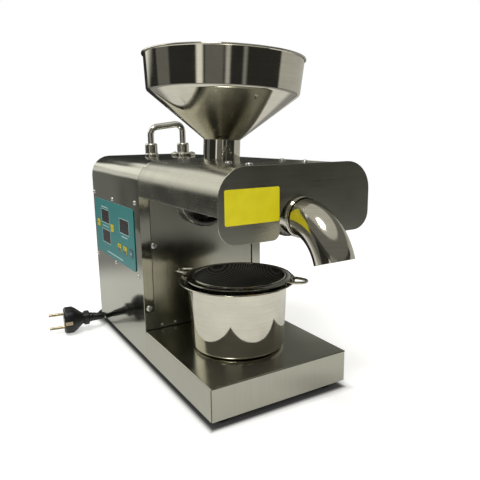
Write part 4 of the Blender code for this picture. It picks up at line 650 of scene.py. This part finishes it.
class PRESS_OT_stage(Operator):
    """Builds the pale floor, the soft light and the surroundings that the steel reflects"""

    bl_idname = "press.stage"
    bl_label = "Floor and light"

    def execute(self, context):
        stage = context.scene.press_stage
        self.world(context, stage.daylight)
        mesh = bmesh.new()
        bmesh.ops.create_circle(mesh, cap_ends=True, radius=stage.floor_radius, segments=128)
        self.prop(context, "floor", mesh, self.floor_finish())
        mesh = bmesh.new()
        bmesh.ops.create_icosphere(mesh, subdivisions=5, radius=DOME)
        for face in mesh.faces:
            face.smooth = True
        dome = self.prop(context, "surroundings", mesh, self.surroundings_finish())
        dome.visible_camera = dome.visible_diffuse = dome.visible_shadow = dome.visible_transmission = False
        self.lamp(context, "key_light", -142, 66, 1.6, 0.50, stage.key_light, True)
        self.lamp(context, "fill_light", -118, 30, 2.2, 1.60, stage.fill_light, False)
        return {"FINISHED"}

    def prop(self, context, name, mesh, material):
        data = bpy.data.meshes.new(name)
        mesh.to_mesh(data)
        mesh.free()
        data.materials.append(material)
        made = bpy.data.objects.new(name, data)
        context.scene.collection.objects.link(made)
        return made

    def world(self, context, daylight):
        """White to the camera and in reflections, and dimmer as light."""
        world = bpy.data.worlds.new("white_studio")
        world.use_nodes = True
        context.scene.world = world
        tree = world.node_tree
        tree.nodes.clear()
        path = add(tree, "ShaderNodeLightPath").outputs
        seen = calc(tree, "MAXIMUM", path["Is Camera Ray"], path["Is Glossy Ray"])
        seen = calc(tree, "MAXIMUM", seen, path["Is Transmission Ray"])
        white = add(
            tree, "ShaderNodeBackground", {"Color": (1, 1, 1, 1)},
            {"Strength": ranged(tree, seen, 0, 1, daylight, 1)},
        )
        add(tree, "ShaderNodeOutputWorld", links={"Surface": white.outputs[0]})

    def floor_finish(self):
        """Matt white paint, lifted to white for the camera, with a painted shadow under the press."""
        made, tree, place = blank("matt_white_floor")
        path = add(tree, "ShaderNodeLightPath").outputs
        reach = add(tree, "ShaderNodeVectorMath", {"operation": "LENGTH"}, {0: place}).outputs["Value"]
        # steel sees the floor fall off between these distances, as a table that ends
        fall = ranged(tree, reach, 0.42, 0.62, 0.0, 0.62, "SMOOTHSTEP")
        half_depth = CABINET_BACK / 2
        apart = add(
            tree, "ShaderNodeVectorMath", {"operation": "SUBTRACT", 1: (0, half_depth - SHIFT, 0)},
            {0: place},
        )
        apart = add(tree, "ShaderNodeVectorMath", {"operation": "ABSOLUTE"}, {0: apart.outputs[0]})
        sides = add(tree, "ShaderNodeSeparateXYZ", links={"Vector": apart.outputs[0]}).outputs
        # distance out from the press's own outline
        out = calc(
            tree, "MAXIMUM", calc(tree, "SUBTRACT", sides["X"], HALF),
            calc(tree, "SUBTRACT", sides["Y"], half_depth),
        )
        # inside the press's outline the floor's paint turns dark: a painted shadow
        shadow = ranged(tree, out, -0.002, 0.003, 0.90, 0.0)
        dark = calc(tree, "MAXIMUM", calc(tree, "MULTIPLY", fall, path["Is Glossy Ray"]), shadow)
        shade = add(
            tree, "ShaderNodeMix",
            {"data_type": "RGBA", 6: (0.92, 0.915, 0.88, 1), 7: (0.05, 0.05, 0.05, 1)}, {0: dark},
        )
        paint = add(tree, "ShaderNodeBsdfDiffuse", links={"Color": shade.outputs[2]})
        # no lift inside the outline, so the painted shadow stays dark for the camera
        lift = calc(tree, "MULTIPLY", path["Is Camera Ray"], ranged(tree, out, 0.0, 0.010, 0.0, 0.42))
        glow = add(tree, "ShaderNodeEmission", {"Color": (1, 1, 1, 1)}, {"Strength": lift})
        both = add(tree, "ShaderNodeAddShader", links={0: paint.outputs[0], 1: glow.outputs[0]})
        add(tree, "ShaderNodeOutputMaterial", links={"Surface": both.outputs[0]})
        return made

    def surroundings_finish(self):
        """The plain cards, glowing softly in a faintly warm white."""
        made, tree, place = blank("studio_cards")
        parts = add(tree, "ShaderNodeSeparateXYZ", links={"Vector": place}).outputs
        turn = ranged(tree, calc(tree, "ARCTAN2", parts["Y"], parts["X"]), -pi, pi, 0, 1)
        rows = []
        for _, _, between, cards in CARDS:
            stops = [(-180, between)]
            for first, last, shade in cards:
                stops += [(first - CARD_BLUR / 2, between), (first + CARD_BLUR / 2, shade)]
                stops += [(last - CARD_BLUR / 2, shade), (last + CARD_BLUR / 2, between)]
            stops.append((180, between))
            shades = [((a + 180) / 360, linear("#" + f"{round(255 * grey):02x}" * 3)) for a, grey in stops]
            rows.append(tinted(tree, turn, *shades))
        seen = rows[0]
        for (top, blur, _, _), row in zip(CARDS, rows[1:]):
            low, high = DOME * sin(radians(top - blur / 2)), DOME * sin(radians(top + blur / 2))
            height = ranged(tree, parts["Z"], low, high, 0, 1, "SMOOTHSTEP")
            seen = add(tree, "ShaderNodeMix", {"data_type": "RGBA"}, {0: height, 6: seen, 7: row}).outputs[2]
        warm = add(
            tree, "ShaderNodeMix",
            {"data_type": "RGBA", "blend_type": "MULTIPLY", "Factor": 1.0, 7: (1.0, 0.99, 0.92, 1)},
            {6: seen},
        )
        glow = add(tree, "ShaderNodeEmission", {"Strength": 1.6}, {"Color": warm.outputs[2]})
        add(tree, "ShaderNodeOutputMaterial", links={"Surface": glow.outputs[0]})
        made.cycles.emission_sampling = "NONE"
        return made

    def lamp(self, context, name, azimuth, height, distance, size, power, shown):
        data = bpy.data.lights.new(name, "AREA")
        data.shape = "DISK"
        data.size = size
        data.energy = power
        lamp = bpy.data.objects.new(name, data)
        context.scene.collection.objects.link(lamp)
        a, h = radians(azimuth), radians(height)
        way = Vector((cos(a) * cos(h), sin(a) * cos(h), sin(h)))
        lamp.location = way * distance + Vector((0, 0, LAMP_AIM))
        lamp.rotation_euler = way.to_track_quat("Z", "Y").to_euler()
        lamp.visible_camera = False
        lamp.visible_glossy = shown


class PRESS_OT_cord(PressPiece, Operator):
    """Lays the mains cord from its gland over its coil to the plug"""

    bl_idname = "press.cord"
    bl_label = "Cord and plug"

    def build(self, sizes):
        r, moulded = sizes.cord / 2, plain("moulded_abs")
        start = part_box("cord_gland")[1].y + SHIFT + GAP
        gland_x, gland_z = middle("cord_gland").x, middle("cord_gland").z
        coil_x, coil_y = 0.006, CABINET_BACK + 0.0954
        ring, section = 0.0385, 0.0140
        coil_top = section + GAP
        lead = [
            (gland_x, start, gland_z), (gland_x, start + 0.012, gland_z - 0.0015),
            (gland_x, start + 0.026, gland_z - 0.009), (gland_x, start + 0.038, coil_top + r + 0.0035),
            (coil_x + ring + 0.0001, coil_y - 0.014, coil_top + r + GAP),
            (coil_x + ring, coil_y, coil_top + r + GAP),
        ]
        route = smooth_route(lead, 16)
        route += self.coil(coil_x, coil_y, ring, r, coil_top)
        tail, boot_length = self.tail(r, coil_x, coil_y, ring, section / 2), 0.0200
        route += smooth_route(tail, 44, boot_length)[::-1][1:]
        points = [at(*p) for p in route]
        cord = rod(
            "mains_cord", points, r, plain("pvc_sheath"), "press_body",
            ("cord_lead", "cord_coil", "cord_tail"),
        )
        # the boot tapers towards the cord, ribbed by grooves after its first fifth
        count, thick, thin = 61, 0.0066, 0.0043
        radii = []
        for share in (i / (count - 1) for i in range(count)):
            groove = 0.86 if share > 0.18 and int(share * 17) % 2 else 1.0
            radii.append((1 - share * (1 - thin / thick)) * groove)
        boot = rod(
            "plug_boot_ribbed", [at(*p) for p in smooth_route(tail, count, 0, boot_length)], thick, moulded,
            "press_body", ("plug_boot",), radii,
        )
        body = dressed("plug_body", moulded, 0.0004, 42)
        painted("plated_brass", "plug_pins", "plug_earth_clip")
        painted("pvc_sheath", "cord_gland")

    def coil(self, x, y, ring, r, top):
        """Four turns in two layers, entered from above and left on the outside."""
        inner, outer, high, low = ring - r, ring + r, 3 * r + GAP, r + GAP
        leave = ring + 3 * r + GAP / 2
        # degrees wound, and the radius and height reached there
        stages = [
            (0, ring, top + r + GAP), (60, inner, high), (330, inner, high), (390, outer, high),
            (690, outer, high), (750, inner, low), (1050, inner, low), (1110, outer, low),
            (1500, outer, low), (1575, leave, low), (1620, leave, low),
        ]
        route = []
        for angle in range(12, 1620, 12):
            for (a0, r0, z0), (a1, r1, z1) in zip(stages, stages[1:]):
                if a0 <= angle < a1:
                    share = (angle - a0) / (a1 - a0)
                    share = share * share * (3 - 2 * share)
                    radius, z = r0 + (r1 - r0) * share, z0 + (z1 - z0) * share
            route.append((x + radius * cos(radians(angle)), y + radius * sin(radians(angle)), z))
        return route

    def tail(self, r, coil_x, coil_y, ring, half):
        """Route from the plug round the cabinet's rear corner to the coil, as the frame has it."""
        turn, plug_radius, plug_length = radians(-8), 0.0182, 0.0338
        floor, height = r + GAP, plug_radius + GAP
        end_x = -HALF - 0.0609 + (plug_length + GAP) * cos(turn)
        end_y = CABINET_BACK - 0.0306 + (plug_length + GAP) * sin(turn)
        side = -HALF - r - 0.0012
        straight = 0.0008
        bend = (side - end_x - straight * cos(turn)) / (1 - sin(turn))
        fall = bend * (pi / 2 - turn) + 0.0210
        route = [(end_x, end_y, height)]
        for step in range(9):
            heading = turn + (pi / 2 - turn) * step / 8
            done = bend * (heading - turn) / fall
            route.append((
                end_x + straight * cos(turn) + bend * (sin(heading) - sin(turn)),
                end_y + straight * sin(turn) + bend * (cos(turn) - cos(heading)),
                height - (height - floor) * (3 * done**2 - 2 * done**3),
            ))
        return route + [
            (side + 0.0006, CABINET_BACK + 0.0050, floor), (-0.0765, CABINET_BACK + 0.0174, floor),
            (-0.0660, CABINET_BACK + 0.0284, floor), (-0.0560, CABINET_BACK + 0.0414, floor),
            (-0.0500, CABINET_BACK + 0.0574, floor), (-0.0455, CABINET_BACK + 0.0784, floor + 0.0008),
            (coil_x - ring - half - r - GAP / 2, coil_y, half + GAP / 2),
        ]


class PRESS_OT_base(PressPiece, Operator):
    """Folds the base tray and sets it on its rubber feet"""

    bl_idname = "press.base"
    bl_label = "Base"

    def build(self, sizes):
        steel = brushed_stainless("brushed_base", 0.20, "Z", wave=0.0004, cloud=0.12)
        back = CABINET_FRONT - GAP
        mesh = bmesh.new()
        made = bmesh.ops.create_cube(mesh, size=1)
        bmesh.ops.scale(mesh, verts=made["verts"], vec=(2 * HALF, back, BASE_TOP - FOOT))
        bmesh.ops.translate(mesh, verts=made["verts"], vec=(0, back / 2 - SHIFT, (BASE_TOP + FOOT) / 2))
        open_sides = [
            face for face in mesh.faces
            if face.calc_center_median().z < FOOT + 1e-5 or face.calc_center_median().y > back - SHIFT - 1e-5
        ]
        bmesh.ops.delete(mesh, geom=open_sides, context="FACES_ONLY")
        folds = [
            line for line in mesh.edges
            if len(line.link_faces) == 2 and all(v.co.z > BASE_TOP - 1e-5 for v in line.verts)
        ]
        rounded(mesh, folds, sizes.tray_fold, 5, "EDGES")
        for side in (-1, 1):
            self.open_seam(mesh, side, sizes)
        in_place_of("base_tray", "base_tray_folded", mesh, steel, 50, wall=sizes.sheet, edge=0.0002)
        painted("moulded_rubber", "foot_front_left", "foot_front_right", "foot_rear_left", "foot_rear_right")
        painted("zinc_sheet", "bottom_plate")

    def open_seam(self, mesh, side, sizes):
        """Cuts the narrow strips at a front corner away, so that the folded sides don't quite meet."""
        ledge = BASE_TOP - sizes.tray_fold - 1e-5
        cuts = (
            ((side * (HALF - sizes.seam), 0, 0), (side, 0, 0)),
            ((0, sizes.sheet * 1.2 - SHIFT, 0), (0, -1, 0)),
        )
        for point, normal in cuts:
            flat = [
                face for face in mesh.faces
                if max(v.co.z for v in face.verts) < ledge + 2e-5
                and (abs(face.normal.y) > 0.9 or abs(face.normal.x) > 0.9)
                and face.calc_center_median().x * side > -0.001
            ]
            geometry = [*flat, *{e for f in flat for e in f.edges}, *{v for f in flat for v in f.verts}]
            bmesh.ops.bisect_plane(mesh, geom=geometry, plane_co=point, plane_no=normal, dist=1e-7)
        strips = [
            face for face in mesh.faces
            if max(v.co.z for v in face.verts) < ledge + 2e-5
            and face.calc_center_median().x * side > HALF - sizes.seam
            and face.calc_center_median().y < sizes.sheet * 1.2 - SHIFT
        ]
        bmesh.ops.delete(mesh, geom=strips, context="FACES")


class PRESS_OT_cabinet(PressPiece, Operator):
    """Finishes the cabinet's cover, its front and rear panels and their screws"""

    bl_idname = "press.cabinet"
    bl_label = "Cabinet"

    def build(self, sizes):
        cover = brushed_stainless("brushed_cabinet", 0.10, "Z", wave=0.0015, cloud=0.15)
        panel = brushed_stainless("brushed_panel", 0.24, "Z", wave=0.0002, cloud=0.06)
        dressed("cabinet_cover", cover, 0.0004)
        dressed("front_panel", panel, 0.0003)
        dressed("rear_panel", panel, 0.0003)
        radius = sizes.screw_head
        # stations of the screws along the sides; the left side has two more, at the overlay's middle
        far = [(0.1780, 0.1915), (0.1780, 0.1047), (0.3445, 0.1904), (0.3445, 0.1015)]
        near = [*far[:2], (0.2625, 0.1874), (0.2620, 0.1046), *far[2:]]
        screws("side_screws", [at(-HALF, y, z) for y, z in near], "left", radius * 0.75)
        screws("far_side_screws", [at(HALF, y, z) for y, z in far], "right", radius * 0.75)
        face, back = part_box("front_panel")[0].y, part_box("rear_panel")[1].y
        screws("front_screws", [(x, face, 0.1423) for x in (-0.0646, 0.0646)], "front", radius)
        foot_row = [(x, face, 0.0460) for x in (-0.0583, -0.0417, 0.0417, 0.0583)]
        screws("foot_screws", foot_row, "front", radius * 0.45)
        screws("flange_screws", [at(x, CABINET_FRONT, 0.0691) for x in (-0.0741, 0.0741)], "front", radius)
        # a thin dark strip is painted where each flange stands over the panel behind it: a painted shadow
        # line
        foot, ceiling, inset = 0.0642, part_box("head_cover")[0].z, 0.0125
        strips = [
            plate(0.0009, ceiling - foot, 0.0003, 0, on("front", (x, face, (ceiling + foot) / 2)))
            for x in (-HALF + inset, HALF - inset)
        ]
        joined("sealing_strips", strips, plain("sealing_strip"), "press_body", "black_rubber", soft=40)
        rear = [(x, back, z) for x in (-0.070, 0.070) for z in (0.030, 0.120, 0.200)]
        screws("rear_screws", rear, "back", radius * 0.8)


class PRESS_OT_head(PressPiece, Operator):
    """Finishes the overhanging head, its front plate, the bare label plate and the screws on top"""

    bl_idname = "press.head"
    bl_label = "Head"

    def build(self, sizes):
        cover = brushed_stainless("brushed_head", 0.25, "Y", wave=0.0005, cloud=0.12)
        front = brushed_stainless("brushed_front_plate", 0.30, "X", wave=0.0001, cloud=0.05)
        dressed("head_cover", cover, 0.0004)
        dressed("front_plate", front, 0.0004)
        place = on("front", (-0.04875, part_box("front_plate")[0].y, 0.20775))
        label = plate(0.0535, 0.0295, 0.00025, 0.0016, place)
        solid_of("label_plate", label, plain("yellow_film"), "press_body", "yellow_film", soft=40)
        top = [at(x, y, CASE_TOP) for x in (-0.031, 0.031) for y in (0.010, 0.047)]
        screws("top_screws", top, "up", sizes.screw_head, "zinc_top_screws")


class PRESS_OT_outlet(PressPiece, Operator):
    """Bends the outlet tube and turns the collar that holds it"""

    bl_idname = "press.outlet"
    bl_label = "Outlet"

    def build(self, sizes):
        polished = polished_stainless("buffed_outlet", 0.12)
        turned_steel = polished_stainless("turned_collar", 0.16)
        radius, angle = 0.0170, radians(71.3)
        back, bend_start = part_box("outlet_elbow")[1].y, -0.0255 - SHIFT
        mesh = bmesh.new()
        made = bmesh.ops.create_circle(mesh, segments=64, radius=radius)
        place = Matrix.Translation((0, back, AXIS_HEIGHT)) @ Matrix.Rotation(pi / 2, 4, "X")
        bmesh.ops.transform(mesh, matrix=place, verts=made["verts"])
        swept = bmesh.ops.extrude_edge_only(mesh, edges=mesh.edges[:])["geom"]
        moved = [v for v in swept if isinstance(v, bmesh.types.BMVert)]
        bmesh.ops.translate(mesh, verts=moved, vec=(0, bend_start - back, 0))
        bmesh.ops.spin(
            mesh, geom=[g for g in swept if not isinstance(g, bmesh.types.BMFace)],
            cent=(0, bend_start, AXIS_HEIGHT - sizes.outlet_bend), axis=(1, 0, 0), angle=angle, steps=36,
            use_duplicate=False,
        )
        in_place_of("outlet_elbow", "outlet_tube", mesh, polished, 40, wall=sizes.outlet_wall, edge=0.0003)
        low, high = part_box("outlet_collar")
        outer, bore, collar_back, collar_front = high.x, radius + GAP, high.y, low.y
        profile = [
            (bore, collar_back), (outer, collar_back), (outer, collar_front + 0.0030),
            (outer - 0.0007, collar_front + 0.0026), (outer - 0.0003, collar_front),
            (bore + 0.0004, collar_front), (bore, collar_front + 0.0040),
        ]
        mesh = turned(profile, (0, 0, AXIS_HEIGHT), {4: 0.0004}, turn=ALONG_Y, closed=True)
        in_place_of("outlet_collar", "outlet_ring", mesh, turned_steel, 40, edge=0.0002)
        # the flange's steel is painted darker than the other polished steel: painted shade, for the shade it
        # sits in under the head
        flange = polished_stainless("turned_flange", 0.28, "#7C7A74")
        dressed("barrel_flange", flange, 0.0003)


class PRESS_OT_controls(PressPiece, Operator):
    """Finishes the printed overlay, its display windows and the membrane keys"""

    bl_idname = "press.controls"
    bl_label = "Control panel"

    def build(self, sizes):
        painted("circuit_board_lacquer", "control_board")
        dressed("control_overlay", plain("printed_polyester"), 0.0002)
        for key in ("key_level_up", "key_level_down", "key_forward", "key_reverse", "key_stop"):
            dressed(key, plain("stop_key_film" if key == "key_stop" else "key_film"), 0.00015)
        # the seven bars of a digit: along, up, wide, tall
        bars = [(0, step, 0.0040, 0.0008) for step in (-0.0056, 0, 0.0056)]
        bars += [(side, step, 0.0008, 0.0044) for side in (-0.0026, 0.0026) for step in (-0.0028, 0.0028)]
        panes, digits, lines = [], [], []
        for y, z in ((0.0328, 0.0155), (0.0318, -0.0117), (-0.0445, 0.0118)):
            panes.append(self.strip(y, z, 0.0336, 0.0168, 0.0003, proud=0.0007, rounding=0.0002))
            for side in (1, -1):
                lines.append(self.strip(y, z + side * 0.0091, 0.0356, 0.0007, 0.00006))
                lines.append(self.strip(y + side * 0.0175, z, 0.0007, 0.0182, 0.00006))
            for step in (-0.0098, 0, 0.0098):
                digits += [self.strip(y + step - a, z + up, *size, proud=0.0004) for a, up, *size in bars]
        joined("display_windows", panes, plain("smoked_acrylic"), "press_body", "black_plastic", soft=40)
        joined("display_segments", digits, plain("unlit_segments"), "press_body", "black_plastic", soft=40)
        # plain rules where the overlay's small print stands
        rules = (
            (0.0328, 0.0276, 0.030, 0.0012), (0.0323, 0.0020, 0.028, 0.0010),
            (-0.0445, -0.0012, 0.022, 0.0012),
            (-0.0010, -0.0322, 0.066, 0.0014),
        )
        lines += [self.strip(*rule) for rule in rules]
        joined("printed_lines", lines, plain("printed_white"), "press_body", "teal_film", soft=40)
        self.marks()

    def strip(self, along, up, wide, tall, depth=0.00005, proud=0.0, rounding=0.0):
        """A flat strip on the overlay, its place measured from the overlay's middle."""
        centre = middle("control_overlay")
        place = on("left", (OVERLAY_FACE + proud, centre.y + along, centre.z + up))
        return plate(wide, tall, depth, rounding, place)

    def marks(self):
        """Plain symbols on the keys: plus, minus, arrows over a grey half, and a square."""
        low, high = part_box("key_forward")
        wide, tall = high.y - low.y - 0.0006, (high.z - low.z) * 0.46
        up, arrows = tall / 2 + 0.0002, {}
        for key, way in (("key_forward", 1), ("key_reverse", -1)):
            self.mark(key, "band", "stop_key_film", [(0, -up, wide, tall)])
            arrows[key] = [
                (-0.0003 * way, up, 0.0040, 0.0008),
                (0.0010 * way, up + 0.0008, 0.0024, 0.0007, -0.75 * way),
                (0.0010 * way, up - 0.0008, 0.0024, 0.0007, 0.75 * way),
            ]
        self.mark("key_level_up", "mark", "printed_dark", [(0, 0, 0.0050, 0.0009), (0, 0, 0.0009, 0.0050)])
        self.mark("key_level_down", "mark", "printed_dark", [(0, 0, 0.0050, 0.0009)])
        for key, bars in arrows.items():
            self.mark(key, "mark", "printed_dark", bars)
        self.mark("key_stop", "mark", "printed_white", [(0, 0, 0.0026, 0.0026)])

    def mark(self, key, kind, finish, bars):
        """Bars of (along, up, wide, tall, and a turn if there is one) printed on a key."""
        place = middle(key)
        place.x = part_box(key)[0].x
        meshes = []
        for along, up, wide, tall, *turn in bars:
            spot = on("left", place + Vector((0, -along, up))) @ Matrix.Rotation(sum(turn), 4, "Z")
            meshes.append(plate(wide, tall, 0.00004, 0, spot))
        joined(f"{key}_{kind}", meshes, plain(finish), node_body(key), "grey_film", soft=40)


class PRESS_OT_hopper(PressPiece, Operator):
    """Spins the hopper: rolled lip, cylinder, cone and neck"""

    bl_idname = "press.hopper"
    bl_label = "Hopper"

    def build(self, sizes):
        polished = polished_stainless("spun_hopper", 0.07)
        (low, high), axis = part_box("hopper"), axis_of("hopper")
        lip = sizes.hopper_lip
        rim = (high.x - low.x) / 2 - 2 * lip + 0.0010
        neck, neck_top = 0.0190, CASE_TOP + 0.0213
        cone_top, radius = neck_top + 0.0478, 0.0806
        crest = high.z - sizes.hopper_wall - lip
        curl = arc(rim + lip, crest, lip, -1.2, pi, 9)
        profile = [*curl, (radius, cone_top), (neck, neck_top), (neck, low.z)]
        mesh = turned(profile, axis, {9: sizes.hopper_fold, 10: 0.0010}, steps=144)
        # the neck stands loose in its throat, so the hopper leans a little, across and away from the camera
        seat, raised = axis + Vector((0, 0, CASE_TOP - 0.011)), Vector((0, 0, 0.0008))
        across = Matrix.Rotation(radians(2.7), 4, Vector((0.511, 0.859, 0)))
        away = Matrix.Rotation(radians(-0.6), 4, Vector((0.859, -0.511, 0)))
        whole = Matrix.Translation(seat + raised) @ away @ across @ Matrix.Translation(-seat)
        bmesh.ops.transform(mesh, matrix=whole, verts=mesh.verts)
        in_place_of("hopper", "hopper_spun", mesh, polished, 60, wall=sizes.hopper_wall)


class PRESS_OT_handle(PressPiece, Operator):
    """Bends the lifting handle and turns its two ferrules"""

    bl_idname = "press.handle"
    bl_label = "Lifting handle"

    def build(self, sizes):
        chrome = polished_stainless("chromed_handle", 0.07, "#E9E8E2")
        turned_steel = polished_stainless("turned_ferrule", 0.20)
        x0, y0 = 0.0035, CABINET_FRONT + 0.1103
        half, low, high = 0.0230, 0.0370, 0.0430
        slope, bend = atan2(high - low, 2 * half), sizes.handle_bend
        reach_left = bend * tan((pi / 2 - slope) / 2)
        reach_right = bend * tan((pi / 2 + slope) / 2)
        left = arc(-half + bend, low - reach_left, bend, pi, pi / 2 + slope, 16)
        right = arc(half - bend, high - reach_right, bend, pi / 2 + slope, 0, 16)
        path = [(-half, -0.006), *left, *right, (half, -0.006)]
        points = [at(x0 + x, y0, CASE_TOP + z) for x, z in path]
        rod(
            "lifting_handle_bent", points, sizes.handle_rod, chrome, "press_body",
            ("lifting_handle",), resolution=8,
        )
        bore = sizes.handle_rod + GAP
        ferrule, tall = 0.0080, 0.0165
        for name, side, base in (("left", -1, 0.0092), ("right", 1, 0.0165)):
            node = f"handle_ferrule_{name}"
            foot = [(base, 0), (base, 0.0024), (ferrule, 0.0038)]
            if side > 0:
                foot = [(base, 0), (base, 0.0024), (base - 0.0012, 0.0036), (ferrule, 0.0036)]
            profile = [(bore, 0), *foot, (ferrule, tall - 0.0015), (ferrule - 0.0015, tall), (bore, tall)]
            foot_place, shoulder = at(x0 + side * half, y0, CASE_TOP + GAP), len(profile) - 3
            mesh = turned(profile, foot_place, {shoulder: 0.0008}, steps=64, closed=True)
            in_place_of(node, f"{node}_turned", mesh, turned_steel, 40, edge=0.0002)
        # four small screws through the right ferrule's flange
        ring, flange_top = 0.0122, CASE_TOP + GAP + 0.0034
        around = [radians(a) for a in (45, 135, 225, 315)]
        heads = [at(x0 + half + ring * cos(a), y0 + ring * sin(a), flange_top) for a in around]
        screws("flange_ring_screws", heads, "up", 0.0021, "zinc_flange_screws")


class PRESS_OT_pot(PressPiece, Operator):
    """Draws the catch pot with its flared lip"""

    bl_idname = "press.pot"
    bl_label = "Catch pot"

    def build(self, sizes):
        steel = polished_stainless("drawn_pot", 0.07)
        low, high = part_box("oil_pot")
        lip, wall, top = (high.x - low.x) / 2, 0.0532, high.z
        foot = 0.0500
        profile = [
            (lip, top - 0.0008), (lip - 0.0008, top - 0.0020), (wall, top - 0.0032), (foot, low.z),
            (0, low.z),
        ]
        mesh = turned(profile, axis_of("oil_pot"), {1: 0.0003, 2: 0.0022, 3: sizes.pot_foot}, steps=128)
        in_place_of("oil_pot", "catch_pot", mesh, steel, 60, wall=0.0009, edge=0.0002)


class PRESS_OT_strainer(PressPiece, Operator):
    """Builds the strainer: rim, gauze bowl and two wire handles"""

    bl_idname = "press.strainer"
    bl_label = "Strainer"

    def build(self, sizes):
        # the rim's steel is painted darker than the other polished steel: painted shade, for the dark of the
        # head's underside that it mirrors
        steel = polished_stainless("pressed_rim", 0.10, "#A3A198")
        gauze = woven_gauze("woven_gauze", linear("#7E7E77"))
        (low, high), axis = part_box("strainer_ring"), axis_of("strainer_ring")
        outer, crest = (high.x - low.x) / 2, high.z
        inner = outer - 0.0085
        profile = [
            (inner, crest - 0.0002), (inner + 0.0012, crest), (outer - 0.0016, crest - 0.0011),
            (outer - 0.0006, crest - 0.0004), (outer, crest - 0.0013), (outer - 0.0008, crest - 0.0024),
            (outer - 0.0022, crest - 0.0022), (inner + 0.0012, crest - 0.0012), (inner, crest - 0.0030),
        ]
        mesh = turned(profile, axis, {4: 0.0005}, steps=128, closed=True)
        bright = polished_stainless("gauze_crimp_ring", 0.10)
        # the bright bead that holds the gauze in the rim, ten points round
        bead = arc(inner + 0.0004, crest + 0.0003, 0.0006, 0, 2 * pi * 9 / 10, 10)
        crimp = turned(bead, axis, steps=128, closed=True)
        solid_of("gauze_crimp", crimp, bright, "strainer", "polished_stainless", soft=80)
        in_place_of("strainer_ring", "strainer_rim", mesh, steel, 35, edge=0.0002)
        depth = 0.0280
        mesh = turned(arc(0, crest - 0.0004, inner - GAP, 0, -pi / 2, 18, depth), axis, steps=96)
        in_place_of("strainer_mesh", "gauze_bowl", mesh, gauze, 80, wall=-0.0006)
        wire, half, start = sizes.strainer_wire, 0.0095, outer + GAP
        reach, bow = 0.0765, half * 0.78
        root = [(start, half), (start + 0.004, half * 0.98), (start + 0.009, half * 0.86)]
        loop = [(a, -b) for a, b in root] + arc(reach - wire - bow, 0, bow, -1.35, 1.35, 9) + root[::-1]
        path = smooth_route([(a, b, 0) for a, b in loop], 60)
        # the two handles' line stands at this angle to the press
        line, height = radians(-52.7), Vector((0, 0, middle("strainer_handle_left").z))
        for name, turn in (("left", pi), ("right", 0)):
            node = f"strainer_handle_{name}"
            place = Matrix.Translation(axis + height) @ Matrix.Rotation(line + turn, 4, "Z")
            points = [place @ Vector(p) for p in path]
            rod(f"{node}_wire", points, wire, bright, node_body(node), (node,))


class PRESS_OT_inside(PressPiece, Operator):
    """Gives the barrel, the gear train, the motor and the rear fittings their finishes"""

    bl_idname = "press.inside"
    bl_label = "Inside and rear fittings"

    def build(self, sizes):
        dressed("switch_rocker", plain("moulded_nylon"), 0.0003)
        painted("moulded_nylon", "switch_body", "cooling_fan")
        painted("sand_cast_iron", "press_barrel", "press_screw", "gearbox_housing")
        painted(
            "ground_gear_steel", "output_gear", "lay_gear", "motor_rotor", "output_shaft", "front_bearing",
            "rear_bearing",
        )
        painted("turned_steel", "cake_nozzle", "feed_throat")
        painted("zinc_sheet", "mounting_plate", "head_bracket", "motor_cradle")
        painted("turned_brass", "heater_band", "temperature_probe", "motor_pinion")
        painted("stoved_black_paint", "motor_housing")


class PRESS_PT_panel(Panel):
    """Lists the pieces of the press and the sizes and colours they are made with"""

    bl_idname = "PRESS_PT_panel"
    bl_label = "Screw oil press"
    bl_space_type = "VIEW_3D"
    bl_region_type = "UI"
    bl_category = "Oil press"

    def draw(self, context):
        layout = self.layout
        for operator in OPERATORS:
            layout.operator(operator.bl_idname)
        for group in (context.scene.press_sizes, context.scene.press_colours, context.scene.press_stage):
            box = layout.box()
            for name in group.bl_rna.properties.keys():
                if name not in ("rna_type", "name"):
                    box.prop(group, name)


OPERATORS = (
    PRESS_OT_camera, PRESS_OT_stage, PRESS_OT_cord, PRESS_OT_base, PRESS_OT_cabinet, PRESS_OT_head,
    PRESS_OT_outlet, PRESS_OT_controls, PRESS_OT_hopper, PRESS_OT_handle, PRESS_OT_pot, PRESS_OT_strainer,
    PRESS_OT_inside,
)
CLASSES = (PressSizes, PressColours, PressStage, *OPERATORS, PRESS_PT_panel)


def register():
    for kind in CLASSES:
        bpy.utils.register_class(kind)
    bpy.types.Scene.press_sizes = PointerProperty(type=PressSizes)
    bpy.types.Scene.press_colours = PointerProperty(type=PressColours)
    bpy.types.Scene.press_stage = PointerProperty(type=PressStage)


def unregister():
    del bpy.types.Scene.press_sizes
    del bpy.types.Scene.press_colours
    del bpy.types.Scene.press_stage
    for kind in reversed(CLASSES):
        bpy.utils.unregister_class(kind)


def main():
    """Registers the add-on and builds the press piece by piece."""
    register()
    bpy.context.scene.view_settings.view_transform = "Standard"
    for operator in OPERATORS:
        group, name = operator.bl_idname.split(".")
        result = getattr(getattr(bpy.ops, group), name)()
        if result != {"FINISHED"}:
            raise RuntimeError(f"{operator.bl_label} was not finished")


if __name__ == "__main__":
    main()
